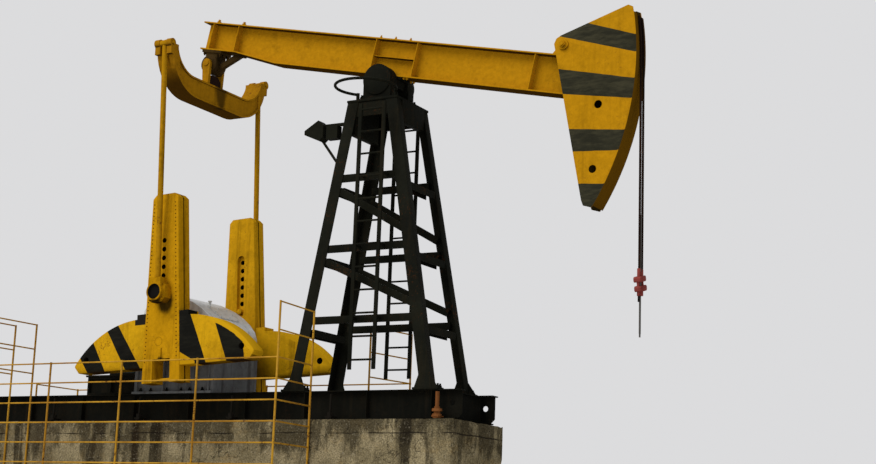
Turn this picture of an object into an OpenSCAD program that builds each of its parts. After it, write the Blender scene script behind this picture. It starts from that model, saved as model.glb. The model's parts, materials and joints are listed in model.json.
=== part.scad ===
// Conventional beam pumping unit on a concrete plinth, with its pipe fence.
// The origin is on the ground under the saddle bearing, +X points to the well,
// +Z is up. The unit rests at the bottom of its stroke, with both cranks up.

/* [Plinth] */
// Height of the concrete plinth above the ground
plinth_h = 1900; // [1500:10:2400]
// Width of the plinth across the unit
plinth_w = 1740; // [1600:10:1800]
// Reach of the plinth in front of the saddle bearing
plinth_front = 1910; // [1900:10:2300]
// Reach of the plinth behind the saddle bearing
plinth_rear = 8750; // [8650:10:9500]

/* [Skid] */
// Depth of the two long skid beams
skid_h = 460; // [400:5:520]
// Distance between the centre planes of the skid beams
skid_gauge = 1120; // [1080:5:1200]
// Width of the skid beam flanges
skid_flange = 200; // [180:5:240]
// Thickness of the skid beam flanges
skid_flange_t = 20; // [14:1:28]
// Thickness of the skid beam webs
skid_web_t = 14; // [10:1:20]
// Reach of the skid in front of the saddle bearing
skid_front = 1900; // [1800:10:1900]
// Reach of the skid behind the saddle bearing
skid_rear = 8550; // [8500:10:8640]
// Distance of the first cross member from the rear end
cross_in = 500; // [400:10:600]
// Distance between the cross members
cross_pitch = 1180; // [1120:10:1240]
// Number of anchor studs on each side
stud_n = 6; // [4:1:7]
// Distance of the outermost anchor studs from the towing holes
stud_in = 180; // [150:10:240]
// Diameter of the towing holes at the skid ends
tow_hole_d = 90; // [60:5:120]
// Distance of the towing holes from the skid ends
tow_in = 170; // [140:5:200]

/* [Tower] */
// Height of the tower from the skid to its top plate
tower_h = 4880; // [4700:10:5000]
// Distance between the leg centres at the feet, along the unit
foot_span = 2476; // [2300:10:2600]
// Distance between the leg centres at the top, along the unit
top_span = 742; // [700:10:800]
// Distance between the leg centres at the feet, across the unit
foot_depth = 1150; // [1110:5:1190]
// Distance between the leg centres at the top, across the unit
top_depth = 890; // [850:5:930]
// Shift of the feet towards the well
foot_shift = 50; // [0:5:100]
// Width of a leg seen from the side
leg_w = 205; // [180:5:250]
// Width of a leg seen from the well
leg_d = 150; // [120:5:190]
// Thickness of the leg plates
leg_t = 16; // [10:1:22]
// Depth of the horizontal and diagonal bars
brace_h = 120; // [90:5:140]
// Thickness of the bars
brace_t = 60; // [40:5:80]
// Heights of the three horizontal bars above the skid
level_1 = 1160; // [1000:10:1300]
// Height of the second horizontal bar above the skid
level_2 = 2350; // [2200:10:2500]
// Height of the third horizontal bar above the skid
level_3 = 3540; // [3400:10:3700]
// Thickness of the foot plates
foot_t = 30; // [20:1:40]
// Thickness of the top plate
head_t = 40; // [25:1:60]
// Depth of the plate between the front legs under the top plate
front_plate_h = 360; // [200:10:500]
// Depth of the plate between the rear legs under the top plate
rear_plate_h = 520; // [200:10:600]

/* [Saddle bearing] */
// Height of the pivot axis above the top plate
pivot_rise = 360; // [310:5:380]
// Outer radius of the two bearing housings
saddle_r = 265; // [230:5:280]
// Radius of the saddle shaft
saddle_shaft_r = 85; // [60:1:95]
// Length of one bearing housing
saddle_len = 230; // [180:5:260]

/* [Walking beam] */
// Distance from the pivot to the tail bearing
rear_arm = 3840; // [3700:10:3900]
// Tilt of the beam at the bottom of the stroke
rest_tilt = 12.05; // [11.5:0.05:12.5]
// Depth of the beam
beam_h = 645; // [600:5:700]
// Height of the beam underside above the pivot axis
beam_rise = 135; // [125:1:160]
// Width of the beam flanges
flange_w = 310; // [260:5:320]
// Thickness of the beam flanges
flange_t = 25; // [18:1:30]
// Thickness of the beam web
web_t = 18; // [12:1:24]
// How far the shallow tail is cut up above the underside
tail_cut = 125; // [80:5:150]

/* [Horsehead] */
// Radius of the wireline face about the pivot
arc_r = 4560; // [4450:10:4650]
// Half angle that the wireline face covers
arc_half = 20; // [19:0.5:22]
// Thickness of the curved face plate
arc_t = 20; // [14:1:28]
// Thickness of the two side plates
head_plate_t = 12; // [8:1:16]
// Gap between the beam flanges and the side plates
head_gap = 8; // [6:1:14]
// Radius of the hinge pin of the head
head_pin_r = 45; // [30:1:55]

/* [Cranks] */
// Distance of the crank shaft behind the pivot
shaft_back = 3498; // [3450:10:3550]
// Height of the crank shaft above the skid
shaft_rise = 814; // [800:5:860]
// Radius of the wrist pin circle in use
pin_r = 822; // [800:1:830]
// Distance between the pin holes
hole_pitch = 153; // [140:1:156]
// Number of pin holes
hole_n = 7; // [5:1:7]
// Diameter of the pin holes
hole_d = 84; // [60:2:90]
// Distance from the centre plane to the outer crank faces
crank_out = 1252; // [1230:1:1270]
// Thickness of the cranks
crank_t = 298; // [260:2:300]
// Length of the crank beyond the shaft
crank_len = 2556; // [2520:4:2600]
// Length of the clamp end below the shaft
crank_heel = 690; // [640:5:720]
// Half width of the crank at the shaft
crank_half = 370; // [350:5:390]
// Half width of the crank at its tip
crank_tip_half = 265; // [240:5:280]
// Radius of the crank shaft
shaft_r = 110; // [90:1:125]

/* [Counterweights] */
// Reach of the near counterweights from the shaft
near_reach = 1890; // [1850:10:2000]
// Reach of the far counterweights from the shaft
far_reach = 1970; // [1850:10:2000]
// Depth of a counterweight below the shaft
weight_low = 420; // [380:5:440]
// Thickness of a counterweight
weight_t = 280; // [240:5:298]

/* [Pitmans] */
// Distance from the centre plane to the pitman axes
pitman_out = 1400; // [1380:1:1420]
// Diameter of the pitman tubes
pitman_d = 95; // [80:1:110]
// Outer radius of the wrist bearing housings
wrist_r = 155; // [135:1:165]
// Length of a wrist bearing housing
wrist_len = 240; // [200:5:250]
// Running gap between a wrist bearing and its crank
wrist_gap = 7; // [5.5:0.5:12]

/* [Equalizer] */
// Width of the equalizer along the unit
equalizer_w = 360; // [320:5:380]
// Outer corner radius of the equalizer
equalizer_r = 750; // [740:5:760]
// Inner corner radius of the equalizer
equalizer_in_r = 520; // [500:5:530]

/* [Wireline and rod] */
// Diameter of the wirelines
rope_d = 28; // [22:1:32]
// Distance between the two wirelines
rope_gap = 110; // [90:2:140]
// Height of the carrier bar above the skid at the bottom of the stroke
carrier_rise = 1490; // [1450:10:1700]
// Length of each of the two carrier clamps, across the unit
clamp_l = 250; // [210:5:320]
// From one carrier clamp to the other, one above the other
clamp_pitch = 143; // [120:1:200]
// How far the carrier hangs out of level, in degrees
clamp_tilt = 15; // [0:1:20]
// Diameter of the polished rod
rod_d = 32; // [28:1:38]
// Length of the polished rod below the carrier bar
rod_below = 700; // [600:10:800]
// How far the rod stands above the underside of the carrier
rod_above = 1180; // [500:10:1400]
// Turned-down pin at the lower end of the rod
rod_pin_l = 50; // [30:1:80]

/* [Gearbox] */
// Length of the gearbox in front of the crank shaft
gear_front = 650; // [600:10:760]
// Length of the gearbox behind the crank shaft
gear_rear = 1050; // [1020:10:1080]
// Width of the gearbox
gear_w = 1240; // [1100:10:1300]
// Height of the humped cover above the crank shaft
gear_cover_h = 910; // [840:10:960]

/* [Drive] */
// Distance of the gearbox sheave axis behind the crank shaft
sheave_back = 560; // [540:10:600]
// Height of the gearbox sheave axis above the skid
sheave_rise = 540; // [500:10:560]
// Radius of the guard round the large sheave
guard_r = 430; // [380:5:440]
// Radius of the guard round the motor sheave
guard_small_r = 190; // [150:5:200]
// Thickness of the belt guard
guard_t = 200; // [160:5:210]
// Distance between the two sheave axes
belt_span = 1000; // [960:10:1040]
// Height of the drive pedestal
pedestal_h = 350; // [300:5:380]
// Length of the drive pedestal
pedestal_l = 1040; // [1000:10:1100]
// Radius of the motor body
motor_r = 240; // [200:5:250]
// Length of the motor body
motor_l = 720; // [640:10:800]

/* [Ladders] */
// Width of a ladder over its rails
ladder_w = 500; // [440:10:540]
// Distance between the rungs
rung_pitch = 377; // [300:1:380]
// Height of the ladder foot above the skid
ladder_foot = 330; // [200:10:600]
// Distance of the ladder planes from the centre plane
ladder_out = 735; // [720:1:800]
// Radius of the guard ring at the ladder head
ring_r = 505; // [490:5:520]

/* [Floodlight] */
// From the top of the tower down to the lamp arm
lamp_drop = 380; // [300:10:900]
// Reach of the lamp behind the saddle bearing
lamp_reach = 1300; // [1200:10:1500]
// Width of the lamp housing
lamp_w = 200; // [160:10:360]

/* [Fence] */
// Distance of the long fence from the centre plane
fence_out = 2050; // [1900:10:2300]
// Spacing of the fence posts
fence_bay = 1540; // [1450:10:1540]
// Number of bays on each long side
fence_n = 5; // [4:1:6]
// Distance of the first post behind the saddle bearing
fence_start = 550; // [520:10:600]
// How far the front ends of the fence slant back to the plinth
end_slant = 140; // [0:10:220]
// Height of the top rail above the plinth
fence_rise = 850; // [700:10:950]
// Number of rails
rail_n = 8; // [5:1:8]
// Spacing of the rails
rail_pitch = 328; // [250:2:330]
// Diameter of the posts
post_d = 34; // [30:1:60]
// Diameter of the rails
rail_d = 24; // [18:1:28]
// Height of the tall hoops above the top rail
hoop_rise = 880; // [600:10:1000]
// Distance of the handrail hoops behind the saddle bearing
hoop_back = 6680; // [6300:10:6690]
// Distance between the two handrail hoops
hoop_gap = 510; // [400:10:700]

/* [Hidden] */
fit = 0.3;
run = 0.1;
yellow = [0.82, 0.60, 0.08];
black = [0.10, 0.10, 0.11];
steel = [0.45, 0.45, 0.46];
red = [0.55, 0.10, 0.10];
concrete = [0.50, 0.47, 0.42];
skid_z = plinth_h + skid_h;
tower_z = skid_z + foot_t;
top_z = skid_z + tower_h - head_t;
pivot_z = skid_z + tower_h + pivot_rise;
shaft_z = skid_z + shaft_rise;
// Tail bearing at the bottom of the stroke
tail_x = -rear_arm * cos(rest_tilt);
tail_z = pivot_z + rear_arm * sin(rest_tilt);
// At the bottom of the stroke crank and pitman are in line
line_len = norm([tail_x + shaft_back, tail_z - shaft_z]);
pitman_len = line_len - pin_r;
crank_lean = atan2(tail_x + shaft_back, tail_z - shaft_z);
wrist_x = -shaft_back + pin_r * sin(crank_lean);
wrist_z = shaft_z + pin_r * cos(crank_lean);
beam_top = beam_rise + beam_h;
crank_in = crank_out - crank_t;
head_in = flange_w / 2 + head_gap;
head_out = head_in + head_plate_t;
rope_r = arc_r + rope_d / 2 + fit;
carrier_z = skid_z + carrier_rise;
fence_h = plinth_h + fence_rise;
carrier_top = clamp_pitch + 85 + 110;
arc_top = arc_r * sin(arc_half);
beam_knee = 0.62 * rear_arm;
beam_heel = 0.8646 * rear_arm;
hinge_x = 3190;
hinge_z = beam_top + 150;

// Places a child in the frame of the beam, which lies level about the pivot
module on_beam() {
  translate([0, 0, pivot_z]) rotate([0, rest_tilt, 0]) children();
}

// Places a child in the frame of the cranks, with the shaft at its origin
module on_crank() {
  translate([-shaft_back, 0, shaft_z]) rotate([0, crank_lean, 0]) children();
}

// A straight bar from p to q
module strut(p, q, w, d) {
  v = q - p;
  l = norm(v);
  translate(p)
    rotate([atan2(-v.y, v.z), 0, 0])
      rotate([0, asin(v.x / l), 0])
        translate([-w / 2, -d / 2, 0]) cube([w, d, l]);
}

// A round bar from p to q
module rod(p, q, d) {
  v = q - p;
  l = norm(v);
  translate(p)
    rotate([atan2(-v.y, v.z), 0, 0])
      rotate([0, asin(v.x / l), 0]) cylinder(d = d, h = l, $fn = 24);
}

// A flat outline in the X-Z plane, extruded across the unit from y0 to y1
module across(y0, y1) {
  translate([0, y1, 0]) rotate([90, 0, 0]) linear_extrude(y1 - y0) children();
}

module plinth() {
  color(concrete)
    translate([-plinth_rear, -plinth_w / 2, 0])
      cube([plinth_rear + plinth_front, plinth_w, plinth_h]);
}

module skid_beam(side) {
  l = skid_front + skid_rear;
  cut = skid_h * 0.25;
  color(black)
    difference() {
      translate([-skid_rear, side * skid_gauge / 2, plinth_h]) {
        translate([0, -skid_flange / 2, 0]) cube([l, skid_flange, skid_flange_t]);
        translate([0, -skid_flange / 2, skid_h - skid_flange_t])
          cube([l, skid_flange, skid_flange_t]);
        translate([0, -skid_web_t / 2, 0]) cube([l, skid_web_t, skid_h]);
        for (x = [cross_in : cross_pitch : l - 300])
          translate([x, side > 0 ? 0 : 10 - skid_flange / 2, 0])
            cube([skid_web_t, skid_flange / 2 - 10, skid_h - 1]);
      }
      for (x = [skid_front - tow_in, -skid_rear + tow_in])
        translate([x, side * skid_gauge / 2 - skid_flange, plinth_h + skid_h * 0.55])
          rotate([-90, 0, 0]) cylinder(d = tow_hole_d, h = 2 * skid_flange, $fn = 40);
      translate([skid_front, side * skid_gauge / 2, plinth_h])
        rotate([0, 45, 0]) cube([cut, 2 * skid_flange, cut], center = true);
    }
}

module skid_cross_members() {
  y = skid_gauge / 2 - skid_web_t / 2 - fit;
  xs = concat([-skid_rear + 70, skid_front - 260],
    [for (x = [-skid_rear + cross_in : cross_pitch : skid_front - 300]) x]);
  color(black)
    for (x = xs)
      difference() {
        translate([x - 50, -y, plinth_h + skid_flange_t + fit])
          cube([120, 2 * y, skid_h - 2 * skid_flange_t - 2 * fit]);
        translate([x + 24, -y - 1, plinth_h + skid_flange_t + 16])
          cube([120, 2 * y + 2, skid_h - 2 * skid_flange_t - 32]);
      }
}

// Studs beside the skid with clamp plates that reach over its lower flanges
module anchor_studs() {
  x0 = -skid_rear + tow_in + stud_in;
  x1 = skid_front - tow_in - stud_in;
  y = skid_gauge / 2 + skid_flange / 2 + 67;
  color([0.40, 0.20, 0.10])
    for (i = [0 : stud_n - 1], s = [-1, 1])
      translate([x0 + i * (x1 - x0) / (stud_n - 1), s * y, plinth_h + fit]) {
        cylinder(d = 130, h = skid_flange_t, $fn = 40);
        translate([-60, s > 0 ? -120 : -65, skid_flange_t]) cube([120, 185, 24]);
        translate([0, 0, skid_flange_t]) cylinder(d = 96, h = 60, $fn = 40);
        translate([0, 0, skid_flange_t]) cylinder(d = 110, h = 90, $fn = 6);
        translate([0, 0, skid_flange_t]) cylinder(d = 36, h = 380, $fn = 24);
      }
}

pedestal_x = -shaft_back - gear_rear - 42;
sheave_x = -shaft_back - sheave_back;
sheave_z = skid_z + sheave_rise;
motor_x = sheave_x - belt_span;
motor_z = skid_z + pedestal_h + 60 + 3 * fit + 30 + motor_r;
guard_y = 720;

module drive_pedestal() {
  y = 600;
  n = 2;
  color(black)
    difference() {
      union() {
        translate([pedestal_x - pedestal_l, -y, skid_z + fit])
          cube([pedestal_l, 2 * y, pedestal_h]);
        translate([pedestal_x - pedestal_l - 30, -y - 30, skid_z + fit + pedestal_h - 30])
          cube([pedestal_l + 60, 2 * y + 60, 30]);
      }
      for (i = [0 : n - 1], s = [-1, 1])
        translate([pedestal_x - pedestal_l + 30 + i * (pedestal_l - 30) / n,
          s > 0 ? y - 60 : -y - 1, skid_z + 40])
          cube([(pedestal_l - 30) / n - 30, 61, pedestal_h - 110]);
    }
}

module gearbox_housing() {
  w = gear_w / 2;
  l = gear_front + gear_rear;
  color([0.55, 0.56, 0.58])
    difference() {
      union() {
        translate([-shaft_back - gear_rear, -w, skid_z + fit])
          cube([l, gear_w, shaft_rise - fit]);
        translate([-shaft_back - gear_rear, -w - 60, skid_z + fit])
          cube([l, gear_w + 120, 40]);
        translate([-shaft_back - gear_rear, -w - 50, shaft_z - 40])
          cube([l, gear_w + 100, 40]);
        for (s = [-1, 1], x = [-gear_rear + 90, -390, 300, gear_front - 70])
          translate([-shaft_back + x - 12, s > 0 ? w : -w - 48, skid_z + 30])
            cube([24, 48, shaft_rise - 60]);
        translate([-shaft_back, w + 70, shaft_z]) rotate([90, 0, 0])
          cylinder(r = shaft_r + 130, h = gear_w + 140, $fn = 64);
        translate([sheave_x, guard_y + 15, sheave_z]) rotate([90, 0, 0])
          cylinder(r = 45, h = guard_y + 15 - w + 10, $fn = 40);
      }
      translate([-shaft_back, w + 90, shaft_z]) rotate([90, 0, 0])
        cylinder(r = shaft_r + run, h = gear_w + 180, $fn = 64);
      translate([-shaft_back - gear_rear - 100, -w - 100, shaft_z])
        cube([l + 200, gear_w + 200, 500]);
    }
}

module gearbox_cover() {
  w = gear_w / 2 - 30;
  h = gear_cover_h;
  a = -gear_rear + 60;
  b = gear_front - 6;
  hump = [[a, 0], [a, 0.55 * h], [a + 25, 0.72 * h], [a + 100, 0.86 * h], [a + 220, 0.95 * h],
    [a + 390, h], [a + 620, h], [a + 800, 0.97 * h], [-60, 0.91 * h], [130, 0.82 * h],
    [320, 0.69 * h], [b - 170, 0.55 * h], [b - 60, 0.41 * h], [b - 10, 0.28 * h], [b, 0.18 * h],
    [b, 0]];
  color([0.70, 0.71, 0.72])
    difference() {
      union() {
        translate([-shaft_back, 0, shaft_z]) across(-w, w) polygon(hump);
        translate([-shaft_back - gear_rear, -w - 80, shaft_z + fit])
          cube([gear_rear + gear_front, 2 * w + 160, 36]);
        translate([-shaft_back, w + 100, shaft_z]) rotate([90, 0, 0])
          cylinder(r = shaft_r + 130, h = 2 * w + 200, $fn = 64);
        translate([-shaft_back, 0, shaft_z + 0.8 * h]) cylinder(r = 24, h = 0.14 * h, $fn = 32);
        translate([-shaft_back, 0, shaft_z + 0.94 * h]) cylinder(r = 36, h = 24, $fn = 32);
      }
      translate([-shaft_back, w + 120, shaft_z]) rotate([90, 0, 0])
        cylinder(r = shaft_r + run, h = 2 * w + 240, $fn = 64);
      translate([-shaft_back - 2000, -1000, shaft_z - 1500 + fit]) cube([4000, 2000, 1500]);
    }
}

module motor_stand() {
  z = skid_z + pedestal_h + 2 * fit;
  color(black)
    for (s = [-1, 1]) {
      translate([motor_x - 300, s * (motor_l / 2 - 60) - 50, z]) cube([600, 100, 60]);
      translate([motor_x + s * 240 - 40, -motor_l / 2 + 20, z]) cube([80, motor_l - 40, 30]);
    }
}

module motor() {
  z = skid_z + pedestal_h + 60 + 3 * fit;
  l = motor_l;
  color([0.25, 0.30, 0.33]) {
    translate([motor_x, l / 2, motor_z]) rotate([90, 0, 0]) cylinder(r = motor_r, h = l, $fn = 64);
    for (a = [20 : 20 : 340])
      translate([motor_x, 0, motor_z]) rotate([0, a, 0])
        translate([-6, -l / 2 + 80, motor_r - 10]) cube([12, l - 160, 30]);
    for (s = [-1, 1])
      translate([motor_x - 250, s * (l / 2 - 60) - 40, z]) cube([500, 80, 60]);
    translate([motor_x - 110, -130, motor_z + motor_r - 40]) cube([220, 260, 120]);
    translate([motor_x, guard_y + 15, motor_z]) rotate([90, 0, 0])
      cylinder(r = 38, h = guard_y + 15 - l / 2 + 10, $fn = 32);
  }
}

module belt_guard() {
  t = guard_t;
  y = guard_y;
  color(red)
    difference() {
      union() {
        translate([motor_x, y + t, motor_z]) rotate([90, 0, 0])
          cylinder(r = guard_small_r, h = t, $fn = 64);
        translate([sheave_x, y + t, sheave_z]) rotate([90, 0, 0])
          cylinder(r = guard_r, h = t, $fn = 96);
        across(y, y + t)
          polygon([[motor_x, motor_z - guard_small_r], [sheave_x, sheave_z - guard_r],
            [sheave_x, sheave_z + guard_r], [motor_x, motor_z + guard_small_r]]);
        translate([sheave_x + 40, 640, skid_z + 40 + 2 * fit])
          cube([60, y - 620, sheave_rise - guard_r + 20]);
        translate([motor_x - 30, 590, skid_z + pedestal_h + 2 * fit])
          cube([60, y - 570, motor_z - guard_small_r - skid_z - pedestal_h + 20]);
      }
      translate([motor_x, y + 25, motor_z]) rotate([90, 0, 0]) cylinder(r = 38 + 4, h = 60, $fn = 32);
      translate([sheave_x, y + 25, sheave_z]) rotate([90, 0, 0]) cylinder(r = 45 + 4, h = 60, $fn = 40);
    }
}

// Centre line of a tower leg at height z, s = -1 at the rear and 1 at the front
function leg_k(z) = (z - tower_z) / (top_z - tower_z);
function leg_x(s, z) = foot_shift * (1 - leg_k(z))
  + s * (foot_span * (1 - leg_k(z)) + top_span * leg_k(z)) / 2;
function leg_y(z) = (foot_depth * (1 - leg_k(z)) + top_depth * leg_k(z)) / 2;

module tower_leg(s) {
  z0 = tower_z - 200;
  z1 = top_z + 200;
  intersection() {
    difference() {
      strut([leg_x(s, z0), -leg_y(z0), z0], [leg_x(s, z1), -leg_y(z1), z1], leg_w, leg_d);
      strut([leg_x(s, z0) - s * leg_t, -leg_y(z0) + leg_t, z0],
        [leg_x(s, z1) - s * leg_t, -leg_y(z1) + leg_t, z1], leg_w, leg_d + 0.1);
    }
    translate([-2500, -2000, tower_z]) cube([5000, 4000, top_z - tower_z - fit]);
  }
}

module face_bar(z0, z1) {
  o = leg_d / 2 - leg_t - brace_t / 2 + 2;
  strut([leg_x(-1, z0) + 40, -leg_y(z0) - o, z0], [leg_x(1, z1) - 40, -leg_y(z1) - o, z1],
    brace_h, brace_t);
}

module tower_side() {
  d = 190;
  color(black) {
    tower_leg(-1);
    tower_leg(1);
    for (l = [level_1, level_2, level_3]) face_bar(skid_z + l, skid_z + l);
    face_bar(skid_z + level_3 - d, skid_z + level_2 + 240);
    face_bar(skid_z + level_2 - d, skid_z + level_1 + 210);
    strut([leg_x(-1, top_z - 130) + 40, -leg_y(top_z - 130) - leg_d / 2 + leg_t + 8, top_z - 130],
      [leg_x(1, top_z - 130) - 40, -leg_y(top_z - 130) - leg_d / 2 + leg_t + 8, top_z - 130],
      240, 20);
    for (s = [-1, 1])
      translate([leg_x(s, tower_z) - 230, -leg_y(tower_z) - 100, skid_z + fit])
        cube([460, 200, foot_t + 2]);
    for (s = [-1, 1])
      across(-leg_y(tower_z) - leg_d / 2 + 6, -leg_y(tower_z) - leg_d / 2 + 20)
        polygon([[leg_x(s, tower_z) - 215, tower_z - 1], [leg_x(s, tower_z) + 215, tower_z - 1],
          [leg_x(s, tower_z + 260) + leg_w / 2 - 30, tower_z + 260],
          [leg_x(s, tower_z + 260) - leg_w / 2 + 30, tower_z + 260]]);
  }
}

// What lies between the inner faces of the near and far legs
module between_sides(gap) {
  a = leg_y(tower_z) - leg_d / 2 - gap;
  b = leg_y(top_z) - leg_d / 2 - gap;
  intersection() {
    children();
    translate([-3000, 0, 0]) rotate([90, 0, 90]) linear_extrude(6000)
      polygon([[-a, tower_z], [a, tower_z], [b, top_z], [-b, top_z]]);
  }
}

module end_bracing(s) {
  d = 190;
  color(black)
    between_sides(fit) {
      union() {
        for (l = [level_1, level_2, level_3]) {
          z = skid_z + l - d;
          x = leg_x(s, z);
          difference() {
            translate([x - leg_w / 2 + 10, -700, z - brace_h / 2])
              cube([leg_w - 20, 1400, brace_h]);
            translate([x - leg_w / 2 + 24, -701, z - brace_h / 2 - 20])
              cube([leg_w - 48, 1402, brace_h + 6]);
          }
        }
      }
    }
}

module tower_head() {
  x = top_span / 2 + leg_w / 2 + 15;
  y = top_depth / 2 + leg_d / 2 + 10;
  color(black) {
    translate([-x, -y, top_z]) cube([2 * x, 2 * y, head_t]);
    between_sides(fit)
      union() {
        for (e = [[-1, rear_plate_h], [1, front_plate_h]])
          translate([leg_x(e[0], top_z - e[1] / 2) - 60 + e[0] * (leg_w / 2 - 64), -600, top_z - e[1]])
            cube([120, 1200, e[1] + 10]);
      }
  }
}

module ladder(side) {
  w = ladder_w - 50;
  x = side < 0 ? 148 : -46;
  y = side * ladder_out;
  z0 = skid_z + ladder_foot;
  z1 = top_z - 120;
  color(black) {
    for (s = [-1, 1])
      translate([x + s * w / 2 - 25, y - 10, z0]) cube([50, 20, z1 - z0]);
    for (z = [z0 + 150 : rung_pitch : z1 - 60]) rod([x - w / 2, y, z], [x + w / 2, y, z], 22);
    for (l = [level_1, level_2, level_3], s = [-1, 1]) {
      z = skid_z + l;
      f = leg_y(z) + leg_d / 2 - leg_t + 2 + fit;
      translate([x + s * w / 2 - 10, side * f, z - 15])
        mirror([0, side < 0 ? 1 : 0, 0]) cube([20, ladder_out - f, 30]);
    }
  }
}

// Ring round the climber's place at the head of the near ladder, on two short posts
module guard_hoop() {
  d = 30;
  y = -top_depth / 2 - leg_d / 2 - 310;
  z = skid_z + tower_h + fit + 95;
  a = asin(335 / ring_r);
  color(black)
    translate([60, y, z]) {
      rotate([0, 0, 178 - a]) rotate_extrude(angle = 184 + 2 * a, $fn = 96)
        translate([ring_r, 0]) circle(d = d, $fn = 24);
      for (s = [-1, 1])
        translate([s * ring_r * cos(a + 2), ring_r * sin(a + 2), -95])
          cylinder(d = d + 10, h = 112, $fn = 24);
    }
}

// Arm and lamp on the rear face of the near rear leg
module floodlight() {
  z = skid_z + tower_h - lamp_drop;
  y = -leg_y(z);
  x = leg_x(-1, z);
  r = lamp_reach;
  z0 = z - 900;
  z1 = z + 200;
  color(black) {
    difference() {
      union() {
        translate([-r + 70, y - 25, z - 25]) cube([r - 70 + x, 50, 50]);
        strut([leg_x(-1, z - 760) - 40, y, z - 760], [-r + 320, y, z - 262], 36, 36);
        translate([-r + 420, y - 70, z - 245]) cube([220, 140, 222]);
      }
      strut([leg_x(-1, z0), -leg_y(z0), z0], [leg_x(-1, z1), -leg_y(z1), z1], leg_w + 2 * fit,
        leg_d + 2 * fit);
    }
    across(y - lamp_w / 2, y + lamp_w / 2)
      polygon([[-r, z - 70], [-r, z - 140], [-r + 300, z - 270], [-r + 370, z - 210],
        [-r + 370, z], [-r + 270, z + 90]]);
  }
}

module saddle_bearings() {
  y0 = flange_w / 2 + 25;
  zt = skid_z + tower_h + fit;
  color(black)
    for (s = [-1, 1])
      mirror([0, s < 0 ? 0 : 1, 0])
        difference() {
          union() {
            translate([0, -y0, pivot_z]) rotate([90, 0, 0])
              cylinder(r = saddle_r, h = saddle_len, $fn = 96);
            translate([-saddle_r, -y0 - saddle_len + 20, zt])
              cube([2 * saddle_r, saddle_len - 40, pivot_rise - 60]);
            translate([-saddle_r - 90, -y0 - saddle_len + 10, zt])
              cube([2 * saddle_r + 180, saddle_len - 20, 50]);
          }
          translate([0, -y0 + 1, pivot_z]) rotate([90, 0, 0])
            cylinder(r = saddle_shaft_r + run, h = saddle_len - 40, $fn = 64);
        }
}

module post(x, y, h) {
  translate([x, y, 0]) cylinder(d = post_d, h = h, $fn = 24);
}

module long_fence(y) {
  x0 = -fence_start;
  x1 = x0 - fence_n * fence_bay;
  color([0.62, 0.45, 0.14]) {
    for (i = [0 : fence_n]) post(x0 - i * fence_bay, y, i == 0 ? fence_h + hoop_rise : fence_h);
    for (i = [0 : rail_n - 1]) {
      z = fence_h - i * rail_pitch;
      rod([x1 - 20, y, z], [x0 + 20, y, z], rail_d);
    }
  }
}

// Rails that close the ends of the pen, and the hoops of the crossing to the plinth
module fence_ends() {
  x0 = -fence_start;
  x1 = x0 - fence_n * fence_bay;
  y0 = plinth_w / 2 + post_d / 2 + fit;
  y1 = fence_out - post_d / 2 - fit;
  y2 = fence_out - post_d / 2 - rail_d / 2 - fit;
  color([0.62, 0.45, 0.14]) {
    for (s = [-1, 1]) {
      post(x0 - end_slant, s * y0, fence_h + hoop_rise);
      post(x1, s * y0, fence_h);
      for (i = [0 : rail_n - 1]) {
        z = fence_h - i * rail_pitch;
        rod([x0 - end_slant, s * y0, z], [x0, s * (y1 - 2), z], rail_d);
        rod([x1, s * y0, z], [x1, s * y1, z], rail_d);
      }
      for (k = [1, 0.5])
        rod([x0 - end_slant, s * y0, fence_h + hoop_rise * k - 14],
          [x0, s * (y1 - 2), fence_h + hoop_rise * k - 14], rail_d);
    }
    for (x = [-hoop_back, -hoop_back - hoop_gap]) {
      for (y = [-y0, -y2]) post(x, y, fence_h + hoop_rise);
      for (k = [1, 0.5, 0])
        rod([x, -y0, fence_h + hoop_rise * k - 14], [x, -y2, fence_h + hoop_rise * k - 14], rail_d);
    }
  }
}

module crank_shaft() {
  color(steel)
    translate([-shaft_back, crank_out, shaft_z]) rotate([90, 0, 0])
      cylinder(r = shaft_r, h = 2 * crank_out, $fn = 64);
}

function crank_w(v) = crank_half - (crank_half - crank_tip_half) * v / crank_len;

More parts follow.
